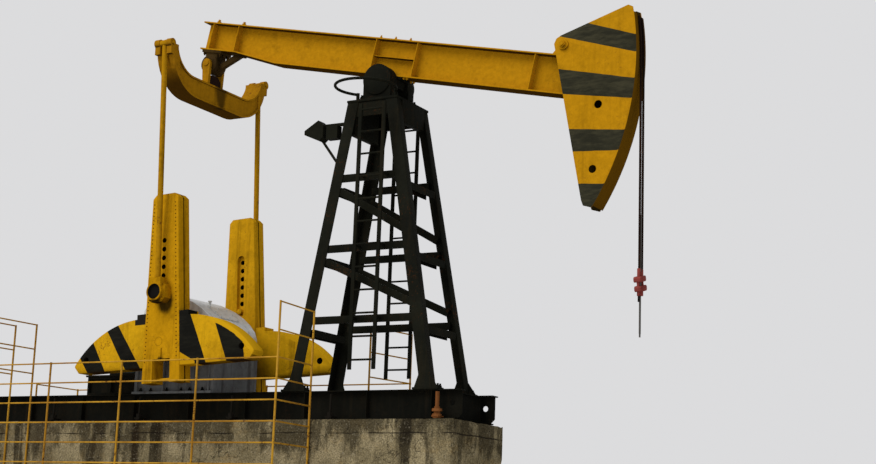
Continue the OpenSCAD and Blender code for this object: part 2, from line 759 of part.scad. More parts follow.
// Near crank, pin nut and clamp bolt, in the frame of the cranks
module crank_body() {
  c = 70;
  difference() {
    across(-crank_out, -crank_in)
      polygon([[-crank_w(-crank_heel), -crank_heel], [crank_w(-crank_heel), -crank_heel],
        [crank_w(crank_len - c), crank_len - c], [crank_w(crank_len) - c, crank_len],
        [-crank_w(crank_len) + c, crank_len], [-crank_w(crank_len - c), crank_len - c]]);
    translate([0, -crank_in + 1, 0]) rotate([90, 0, 0])
      cylinder(r = shaft_r + fit, h = crank_t + 2, $fn = 64);
    for (i = [1 : hole_n - 1])
      translate([0, -crank_in + 1, pin_r + i * hole_pitch]) rotate([90, 0, 0])
        cylinder(d = hole_d, h = crank_t + 2, $fn = 40);
    slot_w = hole_d + 70;
    translate([-slot_w / 2, -crank_in - 60, pin_r - 20])
      cube([slot_w, 61, (hole_n - 1) * hole_pitch + 60]);
    for (z = [pin_r - 20, pin_r + (hole_n - 1) * hole_pitch + 40])
      translate([0, -crank_in + 1, z]) rotate([90, 0, 0])
        cylinder(d = slot_w, h = 61, $fn = 48);
    translate([-185, -crank_out - 1, -crank_heel - 1]) cube([370, crank_t + 2, 400]);
    translate([-10, -crank_out - 1, -crank_heel + 390]) cube([20, crank_t + 2, 240]);
    for (s = [-1, 1])
      translate([s * (crank_w(1500) - 20), -(crank_in + crank_out) / 2, 1500])
        rotate([0, -s * atan((crank_half - crank_tip_half) / crank_len), 0])
          cube([60, 30, 1960], center = true);
  }
  translate([0, -crank_in + 30, pin_r]) rotate([90, 0, 0])
    cylinder(r = hole_d / 2 + 12, h = 92, $fn = 6);
  translate([0, -crank_in - 30, pin_r]) rotate([90, 0, 0])
    cylinder(r = hole_d / 2, h = crank_t - 30, $fn = 40);
  translate([-230, -(crank_in + crank_out) / 2, -crank_heel + 60]) rotate([0, 90, 0])
    cylinder(r = 28, h = 460, $fn = 32);
}

module near_crank() {
  color(yellow) on_crank() crank_body();
}

module far_crank() {
  color(yellow) on_crank() mirror([0, 1, 0]) crank_body();
}

// One counterweight, in front of the near crank, in the frame of the cranks
module weight_body(reach) {
  y1 = -crank_out + 8;
  y0 = y1 + weight_t;
  lug = 500;
  u = fit;
  difference() {
    union() {
      intersection() {
        across(y1, y0)
          polygon([[crank_w(-weight_low) + u, -weight_low], [reach - 90, -weight_low],
            [reach, -weight_low + 110], [reach, 600], [crank_w(600) + u, 600]]);
        translate([reach - 1410, y0 + 10, -1350]) rotate([90, 0, 0])
          cylinder(r = 1770, h = weight_t + 20, $fn = 128);
      }
      across(y1, y0)
        polygon([[crank_w(0) + u, 0], [crank_w(0) + 175, 0], [crank_w(0) + 175, lug],
          [crank_w(lug) + u, lug]]);
    }
    translate([reach - 245, y0 + 1, -200]) rotate([90, 0, 0])
      cylinder(r = 55, h = weight_t + 2, $fn = 40);
    translate([crank_half + 270, y1 + weight_t / 2, lug - 30]) rotate([0, 25, 0])
      cube([120, 120, 120], center = true);
  }
}

module near_front_weight() {
  color(yellow) on_crank() weight_body(near_reach);
}

module near_rear_weight() {
  color(yellow) on_crank() mirror([1, 0, 0]) weight_body(near_reach);
}

module far_front_weight() {
  color(yellow) on_crank() mirror([0, 1, 0]) weight_body(far_reach);
}

module far_rear_weight() {
  color(yellow) on_crank() mirror([0, 1, 0]) mirror([1, 0, 0]) weight_body(far_reach);
}

// Underside of the beam at a distance x from the pivot
function beam_low(x) = beam_rise + (x < -beam_heel ? tail_cut
  : x < -beam_knee ? tail_cut * (-beam_knee - x) / (beam_heel - beam_knee) : 0);
beam_back = rear_arm + 280;
beam_front = 3560;

module walking_beam() {
  xs = [-beam_back, -beam_heel, -(beam_heel + beam_knee) / 2, -beam_knee, beam_front];
  color(yellow)
    on_beam()
      difference() {
        union() {
          across(-web_t / 2, web_t / 2)
            polygon(concat([for (x = xs) [x, beam_low(x)]],
              [[beam_front, beam_top], [-beam_back, beam_top]]));
          across(-flange_w / 2, flange_w / 2)
            polygon(concat([for (x = xs) [x, beam_low(x)]],
              [for (i = [4 : -1 : 0]) [xs[i], beam_low(xs[i]) + flange_t]]));
          translate([-beam_back - 50, -flange_w / 2, beam_top - flange_t])
            cube([beam_back + beam_front + 50, flange_w, flange_t]);
          for (x = [-beam_back + 170, -beam_heel - 50, -370, 465, 2700])
            translate([x, -flange_w / 2 + 12, beam_low(x) + 2])
              cube([16, flange_w - 24, beam_top - beam_low(x) - 4]);
          translate([-370, -flange_w / 2 + 40, beam_rise + beam_h / 2])
            cube([840, flange_w - 80, 14]);
          for (s = [-1, 1])
            across(s * 110 - 20, s * 110 + 20)
              polygon([[hinge_x - 190, beam_top - 5], [hinge_x + 190, beam_top - 5],
                [hinge_x + 80, hinge_z + 40], [hinge_x, hinge_z + 85], [hinge_x - 80, hinge_z + 40]]);
        }
        translate([hinge_x, 200, hinge_z]) rotate([90, 0, 0])
          cylinder(r = head_pin_r + fit, h = 400, $fn = 48);
      }
}

module head_pin() {
  l = 2 * head_out + 60;
  color(yellow)
    on_beam()
      translate([hinge_x, l / 2, hinge_z]) rotate([90, 0, 0]) {
        cylinder(r = head_pin_r, h = l, $fn = 48);
        cylinder(r = head_pin_r + 40, h = 28, $fn = 48);
        translate([0, 0, l - 28]) cylinder(r = head_pin_r + 40, h = 28, $fn = 48);
      }
}

// Side plate of the head: straight back edge, sloping top, round wireline edge
module head_plate() {
  re = arc_r - arc_t + 2;
  difference() {
    intersection() {
      union() {
        across(0, head_plate_t)
          polygon([[hinge_x - 170, hinge_z], [hinge_x - 150, hinge_z + 90],
            [hinge_x - 80, hinge_z + 150], [arc_r - 410, arc_top + 105], [arc_r - 160, arc_top + 40],
            [arc_r + 240, arc_top - 160], [arc_r + 240, 60 - arc_top], [arc_r - 310, -arc_top - 25],
            [arc_r - 450, -arc_top - 15], [arc_r - 500, 60 - arc_top]]);
      }
      translate([0, head_plate_t + 1, 0]) rotate([90, 0, 0])
        cylinder(r = re, h = head_plate_t + 2, $fn = 256);
    }
    for (p = [[arc_r - 560, 36, 66], [arc_r - 423, -988, 64],
      [hinge_x, hinge_z, head_pin_r + fit]])
      translate([p[0], head_plate_t + 1, p[1]]) rotate([90, 0, 0])
        cylinder(r = p[2], h = head_plate_t + 2, $fn = 48);
  }
}

module horsehead() {
  w = head_out + 22;
  color(yellow)
    on_beam() {
      translate([0, -head_out, 0]) head_plate();
      translate([0, head_in, 0]) head_plate();
      intersection() {
        difference() {
          translate([0, w, 0]) rotate([90, 0, 0]) cylinder(r = arc_r, h = 2 * w, $fn = 256);
          translate([0, w + 1, 0]) rotate([90, 0, 0])
            cylinder(r = arc_r - arc_t, h = 2 * w + 2, $fn = 256);
        }
        across(-w - 1, w + 1)
          polygon([[0, 0], [6000 * cos(arc_half), 6000 * sin(arc_half)], [7000, 0],
            [6000 * cos(arc_half), -6000 * sin(arc_half)]]);
      }
      intersection() {
        for (z = [1150, 700, 146, -400, -860])
          translate([arc_r - 380, -head_in - 2, z]) cube([400, 2 * head_in + 4, 10]);
        translate([0, w, 0]) rotate([90, 0, 0])
          cylinder(r = arc_r - arc_t + 2, h = 2 * w, $fn = 256);
      }
    }
}

module saddle_shaft() {
  l = flange_w / 2 + 25 + saddle_len - 50;
  color(black) {
    translate([0, l, pivot_z]) rotate([90, 0, 0]) cylinder(r = saddle_shaft_r, h = 2 * l, $fn = 64);
    on_beam()
      translate([-210, -flange_w / 2 + 5, -40]) cube([420, flange_w - 10, beam_rise + 40 - fit]);
    on_beam()
      translate([-300, -flange_w / 2 + 5, beam_rise - 45]) cube([600, flange_w - 10, 45 - fit]);
  }
}

tail_r = 170;
tail_pin_r = 60;

module tail_bearing() {
  z1 = beam_rise + tail_cut - fit;
  color([0.35, 0.27, 0.10])
    on_beam()
      translate([-rear_arm, 0, 0])
        difference() {
          union() {
            translate([0, 150, 0]) rotate([90, 0, 0]) cylinder(r = tail_r, h = 300, $fn = 64);
            translate([-130, -130, 0]) cube([260, 260, z1]);
            translate([-220, -150, z1 - 50]) cube([440, 300, 50]);
          }
          translate([0, 151, 0]) rotate([90, 0, 0])
            cylinder(r = tail_pin_r + run, h = 302, $fn = 48);
        }
}

// Outline of the equalizer in the Y-Z plane, thinned all round by g
function eq_half(g) = concat(
  [for (a = [-90 : 7.5 : 0]) [630 + (equalizer_r - g) * cos(a), eq_out_z + (equalizer_r - g) * sin(a)]],
  [[630 + equalizer_r - g, eq_top]],
  [for (i = [12 : -1 : 0]) let (a = -90 + i * (90 + asin((eq_top - eq_in_z) / (equalizer_in_r + g))) / 12)
    [740 + (equalizer_in_r + g) * cos(a), eq_in_z + (equalizer_in_r + g) * sin(a)]]);
function eq_loop(g) = concat(eq_half(g),
  [for (i = [len(eq_half(g)) - 1 : -1 : 0]) [-eq_half(g)[i].x, eq_half(g)[i].y]]);
eq_drop = 810;
eq_rise = 440;
eq_top = -40;
eq_out_z = equalizer_r - eq_drop;
eq_in_z = equalizer_in_r - eq_rise;
lug_y = 195;

module equalizer() {
  w = equalizer_w / 2;
  color(yellow)
    translate([tail_x, 0, tail_z]) {
      difference() {
        union() {
          translate([-w, 0, 0]) rotate([90, 0, 90]) linear_extrude(2 * w) polygon(eq_loop(0));
          for (s = [-1, 1]) {
            translate([-w, s * (pitman_out - 60) - 100, -200]) cube([2 * w, 200, 200]);
            translate([-w, s * pitman_out, 0]) rotate([0, 90, 0])
              cylinder(r = 78, h = 2 * w, $fn = 48);
          }
        }
        for (x = [-w - 1, w - 24])
          translate([x, 0, 0]) rotate([90, 0, 90]) linear_extrude(25)
            intersection() {
              polygon(eq_loop(34));
              translate([-1180, -1000]) square([2360, 800]);
            }
        for (s = [-1, 1]) {
          translate([-75, s > 0 ? 1300 : -1700, -500]) cube([150, 400, 900]);
          translate([-w - 1, s * pitman_out, 0]) rotate([0, 90, 0])
            cylinder(r = 32 + fit, h = 2 * w + 2, $fn = 40);
        }
      }
      for (s = [-1, 1])
        across(s * lug_y - 30, s * lug_y + 30)
          polygon([[-60, -eq_rise - 10], [60, -eq_rise - 10], [85, 0], [60, 60], [0, 85], [-60, 60],
            [-85, 0]]);
      translate([0, lug_y + 45, 0]) rotate([90, 0, 0])
        cylinder(r = tail_pin_r, h = 2 * lug_y + 90, $fn = 48);
    }
}

// Near pitman with its top eye and pin, hung from the equalizer
module pitman_body() {
  l = pitman_len - wrist_r - 60 - fit;
  translate([tail_x, -pitman_out, tail_z]) rotate([0, crank_lean, 0]) {
    translate([0, 0, -l]) cylinder(d = pitman_d, h = l, $fn = 48);
    translate([-72, 0, 0]) rotate([0, 90, 0]) cylinder(r = 64, h = 144, $fn = 48);
    translate([0, 0, -l]) cylinder(d = pitman_d + 50, h = 30, $fn = 48);
  }
  translate([tail_x - equalizer_w / 2 - 20, -pitman_out, tail_z]) rotate([0, 90, 0])
    cylinder(r = 32, h = equalizer_w + 40, $fn = 40);
}

module near_pitman() {
  color(yellow) pitman_body();
}

module far_pitman() {
  color(yellow) mirror([0, 1, 0]) pitman_body();
}

module wrist_body() {
  y1 = crank_out + wrist_gap;
  c = wrist_r * 0.4;
  translate([wrist_x, -y1, wrist_z]) rotate([0, crank_lean, 0])
    difference() {
      union() {
        across(-wrist_len * 0.7, 0)
          polygon([[-wrist_r + c, -wrist_r], [wrist_r - c, -wrist_r], [wrist_r, -wrist_r + c],
            [wrist_r, wrist_r - c], [wrist_r - c, wrist_r], [-wrist_r + c, wrist_r],
            [-wrist_r, wrist_r - c], [-wrist_r, -wrist_r + c]]);
        rotate([90, 0, 0]) cylinder(r = wrist_r - 14, h = wrist_len, $fn = 64);
        translate([-110, y1 - pitman_out - 85, 0]) cube([220, 170, wrist_r + 60]);
      }
      translate([0, -wrist_len + 45, 0]) rotate([90, 0, 0])
        cylinder(r = wrist_r - 42, h = 46, $fn = 64);
    }
}

module near_wrist_bearing() {
  color(yellow) wrist_body();
}

module far_wrist_bearing() {
  color(yellow) mirror([0, 1, 0]) wrist_body();
}

// Wirelines lying on the face of the head, from the top anchor to the tangent point
module bridle_wrap() {
  a = arc_half - rest_tilt - 0.6;
  color(steel)
    translate([0, 0, pivot_z])
      for (s = [-1, 1])
        translate([0, s * rope_gap / 2, 0]) rotate([90, 0, 0])
          rotate([0, 0, 0.05]) rotate_extrude(angle = a, $fn = 512)
            translate([rope_r, 0]) circle(d = rope_d, $fn = 16);
}

module bridle_ropes() {
  color(steel)
    for (s = [-1, 1])
      translate([rope_r, s * rope_gap / 2, carrier_z + carrier_top])
        cylinder(d = rope_d, h = pivot_z - carrier_z - carrier_top - fit, $fn = 24);
}

// Rounded outline of a carrier clamp in the Y-Z plane
function clamp_outline(l, h, c) = [[-l / 2 + c, -h / 2], [l / 2 - c, -h / 2], [l / 2, -h / 2 + c],
  [l / 2, h / 2 - c], [l / 2 - c, h / 2], [-l / 2 + c, h / 2], [-l / 2, h / 2 - c], [-l / 2, -h / 2 + c]];

// Two stacked clamps, which hang a little out of level, on the wirelines and the rod
module carrier_bar() {
  h = 85;
  w = 110;
  color(red)
    translate([rope_r, 0, carrier_z]) {
      difference() {
        union() {
          translate([0, 0, h / 2 + clamp_pitch / 2]) rotate([clamp_tilt, 0, 0]) {
            for (s = [-1, 1])
              translate([-w / 2, 0, s * clamp_pitch / 2]) rotate([90, 0, 90]) linear_extrude(w)
                polygon(clamp_outline(clamp_l, h, 22));
            for (s = [-1, 1])
              translate([0, s * 78, -clamp_pitch / 2]) cylinder(r = 24, h = clamp_pitch, $fn = 32);
          }
          translate([0, 0, h / 2 + clamp_pitch]) cylinder(d = 88, h = h + 20, $fn = 48);
          translate([0, 0, -70]) cylinder(d = 96, h = 110, $fn = 48);
          for (s = [-1, 1])
            translate([0, s * rope_gap / 2, h / 2 + clamp_pitch])
              cylinder(d = rope_d + 26, h = carrier_top - h / 2 - clamp_pitch - fit, $fn = 32);
          translate([0, -rope_gap / 2, -170]) cylinder(d = rope_d + 4, h = 200, $fn = 32);
        }
        translate([0, 0, -200]) cylinder(d = rod_d + 1, h = 800, $fn = 32);
      }
    }
}

// Polished rod; its lower end has the turned-down pin that takes a coupling
module polished_rod() {
  color(steel)
    translate([rope_r, 0, carrier_z - rod_below]) {
      translate([0, 0, rod_pin_l]) cylinder(d = rod_d, h = rod_below + rod_above - rod_pin_l, $fn = 32);
      cylinder(d = rod_d - 6, h = rod_pin_l + 1, $fn = 32);
    }
}

plinth();
skid_beam(-1);  // near_skid_beam
skid_beam(1);  // far_skid_beam
skid_cross_members();
anchor_studs();
drive_pedestal();
gearbox_housing();
gearbox_cover();
motor();
motor_stand();
belt_guard();
tower_side();  // near_tower_side
mirror([0, 1, 0]) tower_side();  // far_tower_side
end_bracing(1);  // front_bracing
end_bracing(-1);  // rear_bracing
tower_head();
ladder(-1);  // near_ladder
ladder(1);  // far_ladder
guard_hoop();
floodlight();
saddle_bearings();
long_fence(-fence_out);  // near_fence
long_fence(fence_out);  // far_fence
fence_ends();
crank_shaft();
near_crank();
far_crank();
near_front_weight();
near_rear_weight();
far_front_weight();
far_rear_weight();
walking_beam();
horsehead();
head_pin();
saddle_shaft();
tail_bearing();
equalizer();
near_pitman();
far_pitman();
near_wrist_bearing();
far_wrist_bearing();
bridle_wrap();
bridle_ropes();
carrier_bar();
polished_rod();
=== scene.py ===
# %% [markdown]
# # A beam pumping unit, dressed for a studio picture
# The machine is a walking beam on a lattice tower. Two weighted cranks drive its tail
# through an equalizer, and a curved head lifts a rod on two wire ropes. The solids come
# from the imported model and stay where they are. This script adds the paint, the rust, the
# concrete, the ropes and the small fasteners, and lets each ride on its own body.

# %% Load the fixed frame
import json
import math
import bpy
import bmesh
import numpy as np
from mathutils import Matrix, Vector, noise
from mathutils.bvhtree import BVHTree


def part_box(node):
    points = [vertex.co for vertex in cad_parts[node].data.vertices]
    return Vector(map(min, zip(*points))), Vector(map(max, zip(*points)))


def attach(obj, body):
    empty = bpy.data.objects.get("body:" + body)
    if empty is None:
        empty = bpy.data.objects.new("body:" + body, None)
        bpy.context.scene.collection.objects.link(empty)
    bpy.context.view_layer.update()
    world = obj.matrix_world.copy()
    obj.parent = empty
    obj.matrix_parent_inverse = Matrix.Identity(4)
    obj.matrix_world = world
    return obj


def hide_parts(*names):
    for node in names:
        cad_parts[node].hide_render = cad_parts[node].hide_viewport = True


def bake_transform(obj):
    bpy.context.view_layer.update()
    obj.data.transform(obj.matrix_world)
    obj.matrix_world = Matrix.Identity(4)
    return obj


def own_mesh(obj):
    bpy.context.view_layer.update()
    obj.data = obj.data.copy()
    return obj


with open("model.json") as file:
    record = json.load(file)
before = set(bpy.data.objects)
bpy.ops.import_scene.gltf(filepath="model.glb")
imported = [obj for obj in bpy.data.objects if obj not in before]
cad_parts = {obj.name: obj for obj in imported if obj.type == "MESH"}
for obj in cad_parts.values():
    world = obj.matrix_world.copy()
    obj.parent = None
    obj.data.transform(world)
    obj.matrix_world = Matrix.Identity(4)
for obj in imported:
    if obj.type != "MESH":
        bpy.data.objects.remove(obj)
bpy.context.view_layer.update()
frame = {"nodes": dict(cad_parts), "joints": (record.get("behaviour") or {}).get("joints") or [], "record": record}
joints = {joint["name"]: joint for joint in frame["joints"]}
PIVOT, SHAFT, TAIL = (Vector(joints[name]["pos_m"]) for name in ("beam_rock", "crank_turn", "equalizer_swing"))
BODY_OF = {node: body for body, nodes in frame["record"]["behaviour"]["bodies"].items() for node in nodes}

# %% [markdown]
# ## The leaning frames
# The beam rests nose down and the cranks lean a little, so most fittings are easier to
# place in a frame of their own. Each frame is a matrix that turns about the Y axis at the
# real pivot, taken from the joints.

# %% Frames of the beam and of the cranks
SIDES = (-1, 1)
X, Y, Z = Vector((1, 0, 0)), Vector((0, 1, 0)), Vector((0, 0, 1))
REST_TILT = math.atan2(TAIL.z - PIVOT.z, PIVOT.x - TAIL.x)
CRANK_LEAN = math.atan2(TAIL.x - SHAFT.x, TAIL.z - SHAFT.z)
ON_PIVOT = Matrix.Translation(PIVOT)
ON_BEAM = ON_PIVOT @ Matrix.Rotation(REST_TILT, 4, "Y")
ON_CRANK = Matrix.Translation(SHAFT) @ Matrix.Rotation(CRANK_LEAN, 4, "Y")
print("beam tilt and crank lean, deg:", round(math.degrees(REST_TILT), 2), round(math.degrees(CRANK_LEAN), 2))

# %% [markdown]
# ## The camera
# The photograph was taken from low down, well in front and to the near side of the unit,
# with a slightly rolled camera. The place, the turn and the focal length were fitted to
# measured points of the tower, beam and plinth, so nothing here is guessed by eye.

# %% Camera at the photograph's place
IMAGE_W = 876
FOCAL_PX = 1525.12
YAW, PITCH, ROLL = -0.50869866, 0.19600502, 0.03484261
PLINTH_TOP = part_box("plinth")[1].z
CAMERA_AT = Vector((12.947, -21.330, PLINTH_TOP - 1.757))


def put(name, data):
    """An object at the origin that shows some data in the scene."""
    obj = bpy.data.objects.new(name, data)
    bpy.context.scene.collection.objects.link(obj)
    return obj


def place_camera():
    forward = Vector((math.sin(YAW) * math.cos(PITCH), math.cos(YAW) * math.cos(PITCH), math.sin(PITCH)))
    level_right = forward.cross(Z).normalized()
    right = level_right * math.cos(ROLL) + level_right.cross(forward) * math.sin(ROLL)
    turn = Matrix((right, right.cross(forward), -forward)).transposed()
    data = bpy.data.cameras.new("photo_camera")
    data.sensor_width = 36.0
    data.lens = FOCAL_PX * data.sensor_width / IMAGE_W
    data.clip_end = 400
    camera = put("photo_camera", data)
    camera.matrix_world = Matrix.Translation(CAMERA_AT) @ turn.to_4x4()
    bpy.context.scene.camera = camera
    return camera


camera = place_camera()
print("camera height, m:", round(CAMERA_AT.z, 3), "lens, mm:", round(camera.data.lens, 2))

# %% [markdown]
# ## Node helpers
# Every finish below is a small network of nodes. What a node gives out is wrapped as a
# flow, so that a sum can be written as an ordinary sum, and each sign in it adds one Math
# node. The helpers under it are the few steps that every finish takes again and again.

# %% Flows that add up to node networks
class Flow:
    """What a node gives out. A sum written with it adds Math nodes to the same tree."""

    def __init__(self, socket):
        self.socket, self.tree = socket, socket.id_data

    def math(self, operation, other=0.0, swap=False, clamp=False):
        pair = (other, self) if swap else (self, other)
        return add(self.tree, "ShaderNodeMath", dict(enumerate(pair)), operation=operation, use_clamp=clamp)

    def __add__(self, other):
        return self.math("ADD", other)

    def __sub__(self, other):
        return self.math("SUBTRACT", other)

    def __rsub__(self, other):
        return self.math("SUBTRACT", other, swap=True)

    def __mul__(self, other):
        return self.math("MULTIPLY", other)

    def __truediv__(self, other):
        return self.math("DIVIDE", other)

    def __mod__(self, other):
        return self.math("MODULO", other)

    def __abs__(self):
        return self.math("ABSOLUTE")


def add_node(tree, kind, inputs=None, **settings):
    """A node with its settings, and each input set to a value or linked to a flow."""
    node = tree.nodes.new(kind)
    for key, value in settings.items():
        setattr(node, key, value)
    for key, value in (inputs or {}).items():
        if isinstance(value, Flow):
            tree.links.new(value.socket, node.inputs[key])
        else:
            node.inputs[key].default_value = value
    return node


def add(tree, kind, inputs=None, out=0, **settings):
    """The flow out of one output of a new node."""
    return Flow(add_node(tree, kind, inputs, **settings).outputs[out])


print("sums become nodes")

# %% Steps that every finish takes
SOCKETS = {"f": "NodeSocketFloat", "c": "NodeSocketColor", "v": "NodeSocketVector",
           "m": "NodeSocketMaterial", "g": "NodeSocketGeometry", "i": "NodeSocketInt"}


def rgb(r, g, b):
    return (r, g, b, 1.0)


def mix(share, a, b):
    """Colour a where the share is 0, and b where it is 1."""
    return add(share.tree, "ShaderNodeMix", {0: share, 6: a, 7: b}, 2, data_type="RGBA")


def lay_over(color, layers):
    """Lays tones over a colour, each given as (mask, share, tone)."""
    for mask, share, tone in layers:
        color = mix(mask * share, color, tone)
    return color


def ramp(value, low, high):
    """0 below low, 1 above high, smooth between."""
    return add(value.tree, "ShaderNodeMapRange", {0: value, 1: low, 2: high}, interpolation_type="SMOOTHSTEP")


def inside(value, limit, soft=0.002):
    """1 where the size of a value stays under a limit."""
    return 1.0 - ramp(abs(value), limit - soft, limit + soft)


def vectors(operation, first, inputs):
    return add(first.tree, "ShaderNodeVectorMath", {0: first, **inputs}, operation=operation)


def parts_of(vector):
    return [Flow(s) for s in add_node(vector.tree, "ShaderNodeSeparateXYZ", {0: vector}).outputs]


def reach_of(x, z, y=0.0):
    """How far a point is from the origin, in the X-Z plane where no y is given."""
    point = add(x.tree, "ShaderNodeCombineXYZ", {0: x, 1: y, 2: z})
    return add(x.tree, "ShaderNodeVectorMath", {0: point}, "Value", operation="LENGTH")


def cloud(vector, scale, detail=4.0, stretch=None, rough=0.55):
    if stretch:
        vector = vectors("MULTIPLY", vector, {1: stretch})
    return add(vector.tree, "ShaderNodeTexNoise",
               {"Vector": vector, "Scale": scale, "Detail": detail, "Roughness": rough})


def mottled(color, speck, dark, light):
    """A colour whose level follows a cloud, from dark to light."""
    level = add(color.tree, "ShaderNodeMapRange", {0: speck, 1: 0.3, 2: 0.7, 3: dark, 4: light})
    return vectors("SCALE", color, {3: level})


def node_group(name, kind, inputs, outputs):
    """An empty node group: inputs are (name, kind, default), outputs (name, kind)."""
    tree = bpy.data.node_groups.new(name, kind)
    for label, socket, default in inputs:
        made = tree.interface.new_socket(name=label, in_out="INPUT", socket_type=SOCKETS[socket])
        if default is not None:
            made.default_value = default
    for label, socket in outputs:
        tree.interface.new_socket(name=label, in_out="OUTPUT", socket_type=SOCKETS[socket])
    return tree, {s.name: Flow(s) for s in tree.nodes.new("NodeGroupInput").outputs if s.name}


def close_group(tree, results):
    add_node(tree, "NodeGroupOutput", results)
    return tree


print("kinds of socket:", len(SOCKETS))

# %% [markdown]
# ## Weathering, built once
# Outdoor paint fades in broad clouds, gets dusty in patches, streaks downward with the rain
# and breaks to rust in small spots. One group mixes all of that over any paint colour.
# Each material then sets its own amounts. A second group is the brushed border between
# two painted bands, which is never quite straight on the real machine. A third is the
# grease that creeps out of a bearing and runs down from it.

# %% Shader groups for weathered paint, painted bands and grease
def make_weathered_paint():
    tree, i = node_group("weathered_paint", "ShaderNodeTree", [
        ("Vector", "v", None), ("Paint", "c", rgb(0.5, 0.3, 0.02)), ("Faded", "c", rgb(0.5, 0.3, 0.1)),
        ("Dirt", "c", rgb(0.08, 0.05, 0.03)), ("Rust", "c", rgb(0.16, 0.055, 0.02)),
        ("Fade Amount", "f", 0.4), ("Dirt Amount", "f", 0.4), ("Streak Amount", "f", 0.4),
        ("Rust Amount", "f", 0.3), ("Gloss", "f", 0.45)],
        [("Color", "c"), ("Roughness", "f"), ("Height", "f")])
    p = i["Vector"]
    broad = ramp(cloud(p, 0.9, 5), 0.38, 0.66)
    fine = cloud(p, 14.0, 6, rough=0.65)
    streaks = ramp(cloud(p, 1.0, 5, (9.0, 9.0, 0.55), 0.6), 0.50, 0.72)
    grime = ramp(cloud(p, 3.1, 8, rough=0.68), 0.50, 0.78)
    spots = ramp(cloud(p, 24.0, 6, rough=0.7) * 0.62 + cloud(p, 2.2, 3) * 0.38, 0.585, 0.625)
    rusted = spots * (i["Rust Amount"] * 2.0).math("MINIMUM", 1.0)
    color = lay_over(i["Paint"], [
        (broad, i["Fade Amount"], i["Faded"]), (grime, i["Dirt Amount"], i["Dirt"]),
        (streaks, i["Streak Amount"], i["Dirt"]), (rusted, 1.0, i["Rust"])])
    rough = (i["Gloss"] + grime * 0.22).math("ADD", rusted * 0.3, clamp=True)
    return close_group(tree, {"Color": mottled(color, fine, 0.86, 1.12), "Roughness": rough,
                              "Height": fine * 0.5 - rusted * 0.35})


def make_painted_band():
    """1 between two lines of the X-Z plane, each given as (nx, nz, offset)."""
    tree, i = node_group("painted_band", "ShaderNodeTree", [
        ("Vector", "v", None), ("Line A", "v", (0, 1, 0)), ("Line B", "v", (0, 1, 0)), ("Wobble", "f", 0.012)],
        [("Mask", "f")])
    x, _, z = parts_of(i["Vector"])
    wobble = (cloud(i["Vector"], 5.0, 3) - 0.5) * i["Wobble"]
    past = []
    for key in ("Line A", "Line B"):
        nx, nz, offset = parts_of(i[key])
        past.append(ramp(x * nx + z * nz - offset + wobble, -0.004, 0.004))
    return close_group(tree, {"Mask": past[0] * past[1]})


def make_grease_patch():
    """A dark patch round a point, with ragged edges and a tail that runs down."""
    tree, i = node_group("grease_patch", "ShaderNodeTree", [
        ("Vector", "v", None), ("Center", "v", (0, 0, 0)), ("Radius", "f", 0.3), ("Run", "f", 0.5)],
        [("Mask", "f")])
    x, y, z = parts_of(vectors("SUBTRACT", i["Vector"], {1: i["Center"]}))
    z = z.math("MINIMUM", 0.0) * i["Run"] + z.math("MAXIMUM", 0.0)
    ragged = (cloud(i["Vector"], 6.0, 6, (1, 1, 0.35), 0.65) - 0.5) * 0.9
    return close_group(tree, {"Mask": 1.0 - ramp(reach_of(x, z, y) / i["Radius"] + ragged, 0.55, 1.05)})


WEATHERED, BAND, GREASE = make_weathered_paint(), make_painted_band(), make_grease_patch()
print("shader groups:", [group.name for group in (WEATHERED, BAND, GREASE)])

# %% [markdown]
# ## Paint, iron and steel
# A maker of materials for an old machine thinks in layers: the paint, then what the sun,
# the rain and the grease did to it. The pattern reads Object coordinates, which are the
# machine's own metres, so a scratch or a streak has the same size on every piece. For the
# leaning beam and cranks a Mapping node turns those metres into the piece's own frame.

# %% A helper that finishes a material
def new_material(name):
    material = bpy.data.materials.new(name)
    material.use_nodes = True
    tree = material.node_tree
    return material, tree.nodes["Principled BSDF"], add(tree, "ShaderNodeTexCoord", out="Object")


def in_frame(where, frame_matrix):
    """Object coordinates seen in a leaning frame: first the shift, then the turn."""
    shifted = vectors("SUBTRACT", where, {1: frame_matrix.translation})
    turn = frame_matrix.inverted().to_3x3().to_euler()
    return add(where.tree, "ShaderNodeMapping", {"Vector": shifted, "Rotation": turn}, vector_type="POINT")


def finish_surface(shader, color, rough, height, bump, distance, metal=0.0, shine=0.0):
    tree = shader.id_data
    normal = add(tree, "ShaderNodeBump", {"Height": height, "Strength": bump, "Distance": distance})
    for label, flow in (("Base Color", color), ("Roughness", rough), ("Normal", normal)):
        tree.links.new(flow.socket, shader.inputs[label])
    shader.inputs["Metallic"].default_value = metal
    shader.inputs["Specular IOR Level"].default_value = shine


def line_through(p, q, side):
    """A line of the X-Z plane as (nx, nz, offset), positive on the side of the third point."""
    nx, nz = p[1] - q[1], q[0] - p[0]
    size = math.hypot(nx, nz)
    nx, nz = nx / size, nz / size
    offset = nx * p[0] + nz * p[1]
    sign = -1.0 if nx * side[0] + nz * side[1] < offset else 1.0
    return (sign * nx, sign * nz, sign * offset)


def painted_bands(vector, bands):
    """The union of bands, each between two lines given by two points apiece."""
    total = 0.0
    for (a, b), (c, d) in bands:
        middle = [(a[k] + b[k] + c[k] + d[k]) / 4 for k in (0, 1)]
        band = add(vector.tree, "ShaderNodeGroup", {
            "Vector": vector, "Line A": line_through(a, b, middle), "Line B": line_through(c, d, middle),
            "Wobble": 0.012}, node_tree=BAND)
        total = band.math("MAXIMUM", total)
    return total


print("helpers ready")
